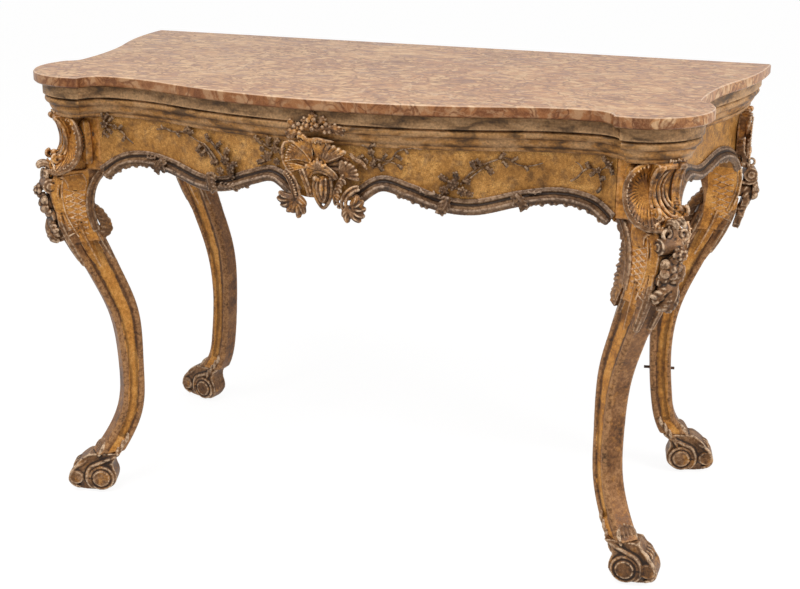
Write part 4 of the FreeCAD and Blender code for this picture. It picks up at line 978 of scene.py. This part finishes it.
# %% Serpentine moulding
front_line = [(52, 700), (100, 733), (150, 722), (204, 703), (262, 698), (334, 714), (399, 722),
    (454, 713), (498, 686)]
side_line = [(-128, 686), (-92, 717), (-28, 733), (60, 716), (147, 733), (212, 717), (248, 687)]
profile = ((12.2, 2.5, 2.6), (9.0, 4.0, 3.2), (4.0, 2.0, 4.0), (-0.5, 8.5, 3.2), (-4.0, 12.0, 3.4),
    (-8.5, 6.5, 5.6), (-3.5, 4.0, 6.5))


def with_depth(line):
    return [(a, b, 0.0) for a, b in line]


def serpentine(line, gaps):
    """The moulding's rounds, and tongues along its lower edge where they are carved."""
    found = rolls(with_depth(line), profile)
    dense = smooth(with_depth(line))
    lower = aside(dense, -9.5)
    for low, high in gaps:
        part = lower[(lower[:, 0] > low) & (lower[:, 0] < high)]
        found += fringe(part[::4], 6.5, 8.5, -1, 0.7, 5.0, 3.8, 0.35)
        found += fringe(part[::4], 4.0, 8.5, -1, -0.2, 9.0, 2.2, 0.35)
    return found


def wrap(x, z, lean, size, hand):
    """Acanthus folded over the moulding: a curled leaf across it and a roll at its root."""
    root = (x - hand * 9 * size, z + 15 * size)
    tip = (x + hand * 8 * size, z - 20 * size)
    found = leaf(root, tip, 26 * size, 5, 4 * lean, 15, 6, 1.1)
    found += rolls([[x - hand * 16 * size, z + 10 * size, 13], [x - hand * 7 * size, z + 2, 18],
        [x - hand * 10 * size, z - 12 * size, 15]], ((-2.5, 0, 2.8), (2.5, 0, 2.8)), (0.8, 1, 0.8))
    return found


right_part = serpentine(front_line, ((128, 190), (338, 492)))
left_part = serpentine([(-a, b) for a, b in reversed(front_line)], ((-492, -345), (-190, -150)))
side_part = serpentine(side_line, ((-70, 20), (100, 190)))
knots = wrap(208, 706, 1, 0.9, -1) + wrap(333, 713, 1, 0.85, 1) + wrap(-226, 708, -1, 1.0, 1)
knots += wrap(-356, 717, -1, 0.85, -1)
knots += leaf((196, 722), (168, 728), 14, 3, 2, 10, 4) + leaf((-215, 700), (-178, 706), 18, 4, -3, 12, 5)
knots += leaf((345, 728), (372, 731), 11, 3, -2, 9, 3) + leaf((-372, 728), (-395, 728), 12, 3, 2, 9, 3)
for name, node, strokes, grain, gold in (
        ("right_serpentine", "right_front_moulding", right_part, 0.0015, -0.15),
        ("left_serpentine", "left_front_moulding", left_part, 0.0015, -0.15),
        ("acanthus_wraps", "moulding_knots", knots, 0.0011, -0.1)):
    carve(name, node, [(strokes, on_front)], grain, gold, material=moulding_finish)
carve("right_side_serpentine", "right_side_moulding", [(side_part, on_side)], grain=0.0015, gold=-0.1,
    mirror=True, material=moulding_finish)

# %% [markdown]
# Twigs with roses, buds and small leaves lie on the gilt ground of the rail. They are nearly black with
# age against the gold, which is what makes them readable from across a room.

# %% Sprays on the rail
def twig(points, thick=2.6, proud=3.2):
    taper = np.linspace(1.0, 0.55, len(points))
    return [stroke([(x, z, proud) for x, z in points], thick * taper)]


leafy = 1.15      # how much wider than drawn the sprays' leaves are carved


def rose(x, z, radius, proud=4.0):
    """A full rose: two rounds of petals and a bud."""
    found = flower((x, z), radius, 6, proud, 20)
    found += flower((x + 0.5, z + 0.5), radius * 0.62, 5, proud + radius * 0.35, 55)
    return found


left_rose = twig([(-374, 781), (-350, 785), (-334, 782), (-318, 784), (-300, 785), (-286, 779),
    (-270, 773), (-256, 770)], 2.2)
left_rose += rolls([[-258, 770, 3], [-244, 758, 4], [-232, 744, 4], [-224, 730, 6]], ((-3, 0, 2.4),
    (3, 0, 2.4)), (0.6, 1.0, 1.2, 1.2))
left_rose += twig([(-250, 778), (-238, 776), (-226, 764), (-214, 752)], 3.4)
left_rose += rose(-204, 747, 11) + rose(-190, 733, 10, 7) + rose(-211, 727, 9, 10) + rose(-224, 716, 8, 14)
left_rose += leaves(((-302, 785, -286, 795, 11), (-292, 784, -276, 790, 9), (-262, 768, -270, 754, 12),
    (-250, 760, -262, 748, 11), (-240, 776, -246, 790, 10), (-226, 766, -212, 778, 10),
    (-206, 756, -196, 768, 12), (-196, 738, -178, 742, 12), (-200, 726, -186, 714, 13),
    (-222, 742, -238, 738, 10), (-350, 785, -358, 792, 6), (-322, 783, -312, 775, 7)), leafy, 3, 1.2, 3.5,
    4.5, 1.6)

left_cluster = twig([(-134, 792), (-121, 785), (-108, 779), (-96, 782), (-88, 768)], 2.4)
left_cluster += twig([(-130, 764), (-116, 762), (-104, 764)], 2.2)
left_cluster += rose(-96, 779, 8.5) + rose(-112, 763, 8.5) + rose(-94, 757, 8) + rose(-124, 777, 6.5)
left_cluster += leaves(((-112, 784, -108, 800, 12), (-100, 786, -88, 797, 11), (-124, 786, -138, 800, 10),
    (-118, 758, -134, 752, 12), (-88, 772, -78, 784, 10), (-104, 770, -118, 772, 9)), leafy, 3, 1.2, 3.5,
    4.5, 1.6)

right_rose = twig([(236, 736), (246, 750), (258, 762), (274, 773), (292, 781), (310, 785), (322, 778),
    (336, 772), (352, 772), (372, 778)], 2.4)
right_rose += twig([(244, 740), (256, 752), (270, 764), (284, 774)], 2.0)
right_rose += rose(224, 738, 12) + rose(240, 727, 10, 7) + rose(209, 729, 9, 8)
right_rose += leaves(((214, 744, 203, 754, 12), (232, 746, 228, 760, 11), (240, 744, 252, 742, 11),
    (262, 766, 254, 780, 11), (272, 772, 262, 784, 9), (278, 770, 288, 758, 12), (300, 784, 308, 794, 9),
    (304, 780, 312, 770, 8), (318, 780, 330, 786, 8), (240, 722, 258, 720, 12), (340, 772, 346, 764, 7),
    (216, 726, 204, 716, 12)), leafy, 3, 1.2, 3.5, 4.5, 1.6)

vine = twig([(66, 800), (78, 794), (88, 778), (104, 774), (118, 776), (128, 790), (142, 796), (158, 798),
    (172, 796)], 2.2)
vine += twig([(84, 760), (100, 764), (116, 772), (130, 768)], 2.0)
vine += rose(84, 788, 7.5) + rose(74, 772, 6.5)
vine += leaves(((90, 776, 84, 764, 11), (104, 775, 112, 786, 8), (126, 784, 138, 778, 8),
    (130, 768, 138, 762, 8), (96, 768, 104, 756, 10), (142, 796, 148, 788, 6), (80, 796, 92, 802, 8),
    (70, 782, 60, 776, 9)), leafy, 3, 1.0, 3.2, 4.0, 1.6)

corner = twig([(418, 748), (430, 756), (440, 768), (452, 774), (466, 771), (480, 778), (494, 790)], 2.4,
    4.6)
corner += twig([(466, 772), (471, 756), (474, 738)], 2.2, 4.6) + twig([(440, 768), (434, 778), (424, 784)],
    1.8, 4.6)
corner += flower((487, 783), 8, 5, 5) + flower((468, 772), 6.5, 5, 5)
corner += leaves(((452, 774, 446, 784, 9), (462, 770, 452, 762, 9), (471, 756, 482, 760, 9),
    (484, 786, 476, 796, 10), (490, 780, 496, 768, 9), (474, 742, 466, 734, 8)), leafy, 3, 1.0, 4.6, 4.0,
    1.7)
far_corner = twig([(-494, 806), (-491, 794), (-486, 784), (-474, 780), (-464, 776), (-452, 768),
    (-440, 756), (-428, 748)], 2.9, 4.6)
far_corner += flower((-489, 783), 9, 5, 5) + flower((-468, 778), 6, 5, 5) + twig([(-482, 776), (-492, 768),
    (-494, 756)], 2.2, 4.6)
far_corner += leaves(((-480, 788, -470, 796, 9), (-486, 774, -474, 766, 10), (-458, 774, -450, 782, 8),
    (-488, 792, -480, 803, 9), (-446, 762, -452, 752, 8), (-492, 766, -482, 758, 8)), leafy, 3, 1.0, 4.6,
    4.0, 1.7)

for name, node, strokes in (("left_rose_twig", "left_rose_spray", left_rose),
                            ("left_bud_cluster", "left_flower_cluster", left_cluster),
                            ("right_rose_twig", "right_rose_spray", right_rose),
                            ("right_vine_twig", "right_vine", vine),
                            ("corner_twigs", "corner_sprays", corner + far_corner)):
    carve(name, node, [(strokes, on_front)], grain=0.0010, gold=-0.6, material=dark_finish)

# %% [markdown]
# A scroll bracket stands on each front post. From the front it is a tall C of nested rolls that curls
# over at the bottom, with a notched fringe down its outer side. On its flank a hollow gilt shell opens
# towards the rail, with a ruffled rim. The bracket of the end side has only a smooth hollow band.

# %% Front brackets
def aged(low, high):
    """A gold rule that changes slowly from place to place between two amounts."""
    def rule(spots, outward):
        wave = np.sin(spots @ np.array([61.0, 47.0, 83.0])) * np.sin(spots @ np.array([-38.0, 71.0, 29.0]))
        return low + (high - low) * (0.5 + 0.5 * wave)
    return rule


bracket_front = ((691, 70), (699, 84), (706, 88), (717, 79), (735, 70), (753, 68), (772, 71), (786, 79),
    (797, 88))
on_bracket = facing(*FRONT_POST, bracket_front)
face = [
    stroke([[-4, 794, -1], [-14, 783, 3], [-22, 768, 4], [-24, 750, 4], [-21, 728, 4], [-9, 706, 4],
        [4, 698, 3], [14, 699, 3]], [2.4, 3.6, 4.2, 4.4, 4.4, 4.4, 4.0, 3.0]),
    stroke([[6, 788, 0], [-5, 778, 2], [-12, 764, 3], [-13, 748, 3], [-9, 726, 3], [1, 710, 3],
        [14, 705, 3]], [2.2, 3.0, 3.4, 3.6, 3.6, 3.4, 2.6]),
    stroke([[12, 784, -1], [3, 772, 0], [-3, 756, 0], [-2, 738, 0], [5, 722, 1], [15, 713, 2]],
        [2.0, 2.8, 3.0, 3.0, 3.0, 2.4]),
    stroke([[17, 780, -2], [10, 766, -2], [6, 750, -2], [8, 732, -1], [15, 720, 0]],
        [1.8, 2.4, 2.6, 2.6, 2.0]),
    spiral((15, 704), 8, 250, 1.1, 1, 2, 3.6),
    stroke([[26, 795, -4], [27, 750, -3], [26, 697, -4]], 3.0),
    stroke([[-27, 793, -3], [-28, 750, -2], [-27, 712, -3]], 2.6)]
face += fringe([[20, 790, -1], [17, 774, 0], [14, 752, 1], [15, 734, 1], [19, 716, 1]], 8.0, 4.6, 1, 0.45,
    1, 1.9)
face += fringe([[-6, 797, 0], [8, 797, 0], [24, 796, 0]], 6.5, 5.2, 1, 0.2, -3, 2.2)
cheek = [
    stroke([[91, 793, 0], [84, 786, 0], [76, 773, 0], [72, 757, 0], [71, 745, 0], [73, 731, 0],
        [79, 720, 0]], [2.5, 3.4, 3.6, 3.6, 3.6, 3.4, 3.0]),
    spiral((94, 715), 9, 100, 1.5, -1, 0, 3.8),
    stroke([[79, 716, -2], [94, 715, -2]], 9)]
cheek += [stroke([[66 - k, 712 + 3 * k, -3.2], [63 - 1.6 * k, 745 + 2 * k, -2.6], [68 - k, 782, -3.2]],
    2.6) for k in (0, 5, 10, 15)]


def bracket_gold(spots, outward):
    flat = np.abs(outward @ np.array([math.sqrt(0.5), -math.sqrt(0.5), 0]))
    return np.clip(1.0 - 0.6 * flat, 0.35, 0.95)


carve("right_front_bracket_scroll", "right_front_bracket", [(face, on_bracket)]
    + both_flanks(cheek, front_corner, 28), grain=0.0012, gold=bracket_gold, keep=True, mirror=True)

# %% Shells beside the front brackets
rim = [[70, 797, -34], [62, 788, -52], [57, 768, -66], [56, 743, -69], [62, 719, -67], [76, 701, -61],
       [93, 690, -46], [108, 689, -28], [118, 692, -14]]
wing_shell = [stroke(rim, [2.6, 3.6, 4.2, 4.4, 4.4, 4.4, 4.2, 3.6, 2.6])]
wing_shell += fringe(rim, 7.5, 3.5, 1, 0.25, 0, 2.0, 0.25)
wing_shell += fringe(rim, 6.0, 4.6, -1, 0.15, 1.5, 1.5, 0.2)
dense = smooth(rim)
for tips, root, pull, rise, lift, thick in ((dense[:-10:5], -26, 12, 5, 0, [4.0, 5.0, 4.6]),
                                            (dense[2:-12:6], -28, 7.5, 1, 1, [1.4, 1.9, 2.2])):
    for tip in tips:
        sag = np.array([(tip[0] + 66) / 2 - pull, (tip[1] + 748) / 2, (tip[2] - 27) / 2 + rise])
        wing_shell.append(stroke([[66, 748, root], sag, tip + np.array([0, 0, lift])], thick))
wing_shell.append(stroke([[36, 702, -42], [36, 745, -46], [38, 790, -42]], 11))


def shell_gold(spots, outward):
    """Gold in the dish, brown and pale at its rim."""
    w = ((np.abs(spots[:, 0]) - FRONT_POST[0]) + (spots[:, 1] - FRONT_POST[1])) * math.sqrt(0.5)
    gold = 0.95 - np.clip(-0.050 - w, 0, 1) * 80 - np.clip(0.716 - spots[:, 2], 0, 1) * 40
    return np.clip(gold, 0.0, 0.95)


carve("right_front_shell_wing", "right_front_wing", [(wing_shell, front_corner)], grain=0.0011,
    gold=shell_gold, mirror=True)
band = rolls([[-132, 799, 14], [-138, 782, 14], [-146, 762, 13], [-156, 738, 12], [-164, 714, 12],
    [-168, 696, 13]], ((-12, 0, 2.4), (-7, -2, 4.6), (0, -3, 5.0), (6.5, -1, 4.4), (11, 1, 2.0)),
    (1.1, 1.0, 0.9, 0.8))
band += [stroke([[-150, 794, 4], [-158, 745, 4], [-166, 698, 4]], 9)]
carve("right_end_band", "right_end_wing", [(band, facing(0.58286, 0, 0))], grain=0.0012,
    gold=aged(0.0, 0.35), soften=2, mirror=True)

# %% [markdown]
# At the back the bracket faces sideways. It is a plain gilt C with a ruffled outer edge and three
# small curls that stand out at its side. A fluted shell fills the corner between it and the side rail.

# %% Rear brackets
back_front = ((691, 96), (699, 110), (706, 114), (717, 105), (735, 96), (753, 94), (772, 97), (786, 105),
    (797, 114))
on_back_bracket = facing(*BACK_POST, back_front)
face = [stroke([[a * 22, 795, 2], [a * 23, 750, 3], [a * 22, 695, 3]], 4.2) for a in (-1, 1)]
face += [stroke([[a * 12, 790, -1], [a * 13, 750, 0], [a * 12, 712, 1]], 3.6) for a in (-1, 1)]
face += [stroke([[0, 788, -2], [0, 750, -1], [0, 714, 0]], 3.6)]
face += fringe([[-22, 706, 4], [0, 704, 5], [22, 706, 4]], 8, 5.5, -1, 0.1, 0, 2.6)
cheek = [
    stroke([[117, 793, 0], [108, 785, 0], [101, 772, 0], [98, 757, 0], [97, 744, 0], [99, 730, 0],
        [106, 718, 0]], [2.5, 3.6, 3.8, 3.8, 3.8, 3.4, 3.0]),
    spiral((112, 705), 10, 120, 1.4, -1, -1, 3.6),
    stroke([[90, 790, -2], [84, 770, -2], [82, 745, -2], [86, 722, -2], [96, 700, -2]], 3.4)]
cheek += fringe([[78, 792, -3], [72, 770, -3], [70, 745, -3], [74, 722, -3], [84, 702, -3]], 8, 5.0, -1,
    0.2, 0, 2.4)
curls = []
for out, up_, size, start in ((113, 716, 9, 200), (122, 690, 10, 210), (128, 655, 11, 190)):
    curls.append(spiral((out, up_), size, start, 1.2, 1, 0, 3.4))
    curls.append(stroke([[out - 26, up_ - 8, 0], [out - 12, up_ - 10, 0], [out, up_ - size, 0]],
        [4.5, 4.0, 3.4]))
carve("right_back_bracket_scroll", "right_back_bracket", [(face, on_back_bracket),
    (cheek, flank(rear_corner, -1, 28)), (curls[:2], rear_corner)], grain=0.0013, gold=aged(0.45, 0.9),
    keep=True, mirror=True)
wing_lines = []
for k in range(7):
    wing_lines.append(stroke([[262, 700 + 4 * k, 8], [250 - 4 * k, 722 + 8 * k, 11],
        [232 - 2 * k, 742 + 9 * k, 14]], [2.4, 3.8, 3.0]))
wing_lines += fringe([[250, 700, 16], [236, 716, 16], [229, 742, 16], [231, 770, 16], [240, 792, 16]], 6,
    5, 1, 0.2, 0, 2.8)
rear_wing_x = max(v.co.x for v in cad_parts["right_back_wing"].data.vertices)
carve("right_back_shell_wing", "right_back_wing", [(wing_lines, facing(rear_wing_x - 0.014, 0, 0))],
    grain=0.0013, gold=aged(0.1, 0.6), keep=True, mirror=True)

# %% [markdown]
# Below the bracket the knee swells. Its flank is a gilt panel cut with a lattice, under a fluted cuff
# and behind a rope of pearls. On the front, two crested waves meet over a bristly flower, and leaves
# hang below it. A serrated leaf, the comb, runs down the inner edge towards the leg.

# %% Front knees
on_knee = facing(*FRONT_LEG, ((500, 70), (540, 84), (585, 92), (610, 98), (650, 106), (691, 96),
    (720, 92)))
front_carving = flower((12, 650), 16, 7, 16, 20) + flower((13, 651), 10.5, 6, 24, 50)
front_carving += fringe([[-2, 658, 14], [2, 667, 16], [13, 671, 17], [26, 667, 16], [31, 656, 13]], 6, 3.6,
    1, 0.1, 0, 1.5)
front_carving += [
    spiral((-6, 684), 14, 60, 1.5, -1, 14, 4.6),
    spiral((24, 682), 14, 130, 1.4, 1, 14, 4.6),
    stroke([[-6, 684, 0], [-6, 684, 14]], 9),
    stroke([[24, 682, 0], [24, 682, 14]], 9)]
front_carving += fringe([[38, 697, 4], [43, 686, 4], [42, 674, 4], [36, 662, 3]], 7.5, 3.6, 1, 0.3, 0, 1.7)
front_carving += fringe([[-20, 692, 4], [-12, 702, 6], [0, 704, 8], [12, 700, 8], [24, 703, 8],
    [34, 699, 6]], 7, 4.6, 1, 0.35, 0, 2.2)
front_carving += [
    stroke([[-4, 692, 6], [0, 702, 14], [2, 704, 26], [4, 696, 33]], [6, 7, 6.5, 4.5]),
    stroke([[14, 692, 6], [17, 702, 14], [18, 703, 25], [19, 695, 31]], [6, 7, 6.5, 4.5]),
    stroke([[-24, 690, -3], [0, 688, 4], [30, 688, 0]], 9)]
swelling = [stroke([[a, 690, -9], [a, 660, -7], [a, 625, -7], [a * 0.9, 595, -10], [a * 0.8, 570, -13]],
    [13, 15, 15, 13, 9]) for a in (-12, 0, 12)]
front_carving += leaf((24, 636), (-12, 604), 28, 5, -6, 10, 9, 1.5)
front_carving += leaf((28, 628), (14, 596), 24, 4, 5, 9, 9, 1.5)
front_carving += leaf((16, 634), (2, 612), 20, 4, 0, 13, 9, 1.4)
front_carving += leaf((20, 596), (2, 548), 38, 6, 4, 5, 18, 1.5)
front_carving += leaf((24, 592), (-20, 566), 28, 5, -5, 6, 12, 1.5)
side_lines = []
for k in range(11):
    share = k / 10
    side_lines.append(stroke([[46 + 30 * share, 648 + 6 * share, 0],
        [43 + 38 * share, 668 + 4 * share, 3.4], [50 + 44 * share, 687 - 4 * share, 1.5]],
        [1.3, 1.9, 1.5]))
pearls = smooth([[96, 672, 1], [100, 650, 1], [99, 628, 1], [93, 604, 1], [86, 584, 1]])
side_lines += [stroke([[*spot[:2], 0], [*spot[:2], 2.6]], 2.7) for spot in pearls[::4]]
side_lines += rolls([[88, 676, 0], [91, 650, 0], [90, 628, 0], [85, 606, 0], [76, 584, 0], [62, 556, 0]],
    ((0, 1.2, 2.4),), (1, 1, 0.8))
for k in range(8):
    low = 568 + k * 11
    left = 44 + (640 - low) * -0.03
    far = min(left + 42, 86)
    side_lines.append(stroke([[left, low + 10, -0.2], [left + 22, low + 2, 0.3], [far, low - 6, 0.2]],
        1.7))
    side_lines.append(stroke([[left, low - 6, -0.2], [left + 21, low + 4, 0.3], [far, low + 12, 0.2]],
        1.7))
ribbon_path = [[-8, 700, 0], [12, 684, 1], [28, 664, 2], [36, 640, 2], [38, 612, 2], [33, 585, 1],
    [27, 563, 0]]
ribbon_side = rolls(ribbon_path, ((-5.5, 0, 4.0), (0.5, 1.5, 2.0), (5, 0, 3.6)), (0.7, 1.0, 1.0, 0.8))


def comb_leaves(edge, sizes):
    """Tongues of a comb, from its root out to a jagged edge."""
    found = []
    spots = smooth(np.array([[*p, 0] for p in edge]))[::6, :2]
    for k, (out, high) in enumerate(spots):
        size = np.interp(k, np.linspace(0, len(spots) - 1, len(sizes)), sizes)
        size *= 0.75 + 0.5 * math.sin(1.9 * k) ** 2
        found.append(stroke([[out + 12, high + 5, 0], [out + 2, high + 1, -1],
            [out - size, high - size * 0.5, 1]], [4.6, 4.8, 2.4]))
        found.append(stroke([[out + 8, high + 3, -4.5], [out - size * 0.6, high - size * 0.3, -3.5]],
            [1.8, 1.2]))
    return found


long_leaves = comb_leaves([[-8, 690], [4, 670], [12, 652], [12, 632], [8, 606], [0, 580], [-6, 552],
    [-4, 530]], (9, 9, 12, 14, 12, 8))
short_leaves = comb_leaves([[30, 655], [33, 640], [28, 618], [20, 600], [10, 582], [8, 566], [14, 552]],
    (2, 4, 6, 9, 12, 10, 5))
run_out = [
    stroke([[64, 596, -11], [55, 565, -11.5], [44, 538, -13], [33, 512, -14], [21, 486, -15]],
        [14, 14.5, 14, 12, 9]),
    stroke([[98, 618, -7], [93, 585, -7], [80, 552, -8], [66, 522, -9], [52, 495, -10]],
        [6, 7.5, 8.5, 8, 6.5]),
    stroke([[40, 604, -7], [32, 578, -7], [20, 548, -8], [4, 516, -9], [-9, 490, -10]],
        [6, 7.5, 8.5, 8, 6.5])]


def banded(out, height, gold):
    """The leg's gilt channel between brown rims, carried up into the knee's panel."""
    middle = np.interp(height, [0.48, 0.547, 0.60], [0.018, 0.048, 0.064])
    half = np.interp(height, [0.545, 0.575, 0.605], [0.0125, 0.017, 0.045])
    return np.minimum(gold, 0.95 - np.clip(np.abs(out - middle) - half, 0, 1) * 250)


def knee_gold(spots, outward):
    """Gold on the knee's body and lattice, brown with pale edges on what stands out of it."""
    out = distance_out(spots, FRONT_LEG)
    front = np.interp(spots[:, 2], [0.55, 0.585, 0.61, 0.65, 0.70], [0.088, 0.100, 0.108, 0.114, 0.108])
    cuffed = np.clip((spots[:, 2] - 0.650) / 0.01, 0, 1) * np.clip((0.086 - out) / 0.004, 0, 1)
    return np.clip(banded(out, spots[:, 2], 0.8 - (out - front + 0.004) * 200 - cuffed), 0.0, 0.9)


carve("right_front_knee_flower", "right_front_knee_carving", [(front_carving + swelling, on_knee)]
    + both_flanks(side_lines + run_out, front_limb, 25), grain=0.0014, gold=knee_gold, keep=True,
    mirror=True)
ribbon = (ribbon_side, flank(front_limb, -1, 25))
carve("right_front_comb", "right_front_leg_comb", [(long_leaves, beside(front_limb, -21)), ribbon],
    grain=0.0012, gold=aged(0.0, 0.3), keep=True)
carve("left_front_comb", "left_front_leg_comb", left_of([(short_leaves, beside(front_limb, -17)), ribbon]),
      grain=0.0012, gold=aged(0.0, 0.3), keep=True)

# %% Rear knees
on_back_knee = facing(*BACK_LEG, ((500, 70), (540, 84), (585, 92), (610, 101), (650, 107), (691, 97),
    (720, 92)))
back_carving = flower((0, 655), 15, 6, 20, 20) + flower((0, 655), 9.5, 5, 27, 50)
back_carving += [
    spiral((-12, 684), 12, 60, 1.4, -1, 16, 4.4),
    spiral((12, 684), 12, 120, 1.4, 1, 16, 4.4),
    stroke([[-12, 684, 0], [-12, 684, 16]], 8),
    stroke([[12, 684, 0], [12, 684, 16]], 8)]
back_carving += leaf((0, 640), (0, 590), 36, 6, 0, 10, 12, 1.5) + flower((0, 590), 13, 6, 8, 0)
for across in (-20, 20):
    line = smooth([[across, 690, 2], [across, 650, 3], [across * 0.95, 610, 3], [across * 0.9, 580, 2]])
    back_carving += [stroke([[*spot[:2], spot[2] - 1], list(spot)], 2.5) for spot in line[::4]]
side_lines = []
for k in range(8):
    low = 572 + k * 12
    side_lines.append(stroke([[48, low + 10, -0.2], [70, low + 2, 0.3], [92, low - 6, -0.2]], 1.3))
    side_lines.append(stroke([[48, low - 6, -0.2], [70, low + 4, 0.3], [92, low + 12, -0.2]], 1.3))
side_lines += rolls([[101, 680, 0], [104, 655, 0], [101, 628, 0], [94, 604, 0], [84, 580, 0]],
    ((0, 0, 2.8), (-6, 0, 2.0)))


def back_knee_gold(spots, outward):
    out = distance_out(spots, BACK_LEG)
    return np.clip(banded(out, spots[:, 2], 0.75 - np.clip(out - 0.104, 0, 1) * 100), 0.0, 0.9)


carve("right_back_knee_flower", "right_back_knee_carving",
      [(back_carving, on_back_knee), (side_lines, flank(rear_limb, -1, 25)), (curls[2:], rear_corner)]
      + both_flanks(run_out, rear_limb, 25), grain=0.0015, gold=back_knee_gold, keep=True, mirror=True)
carve("right_back_comb", "right_back_leg_comb", [(short_leaves, rear_limb)], grain=0.0013,
    gold=aged(0.0, 0.3), keep=True, mirror=True)
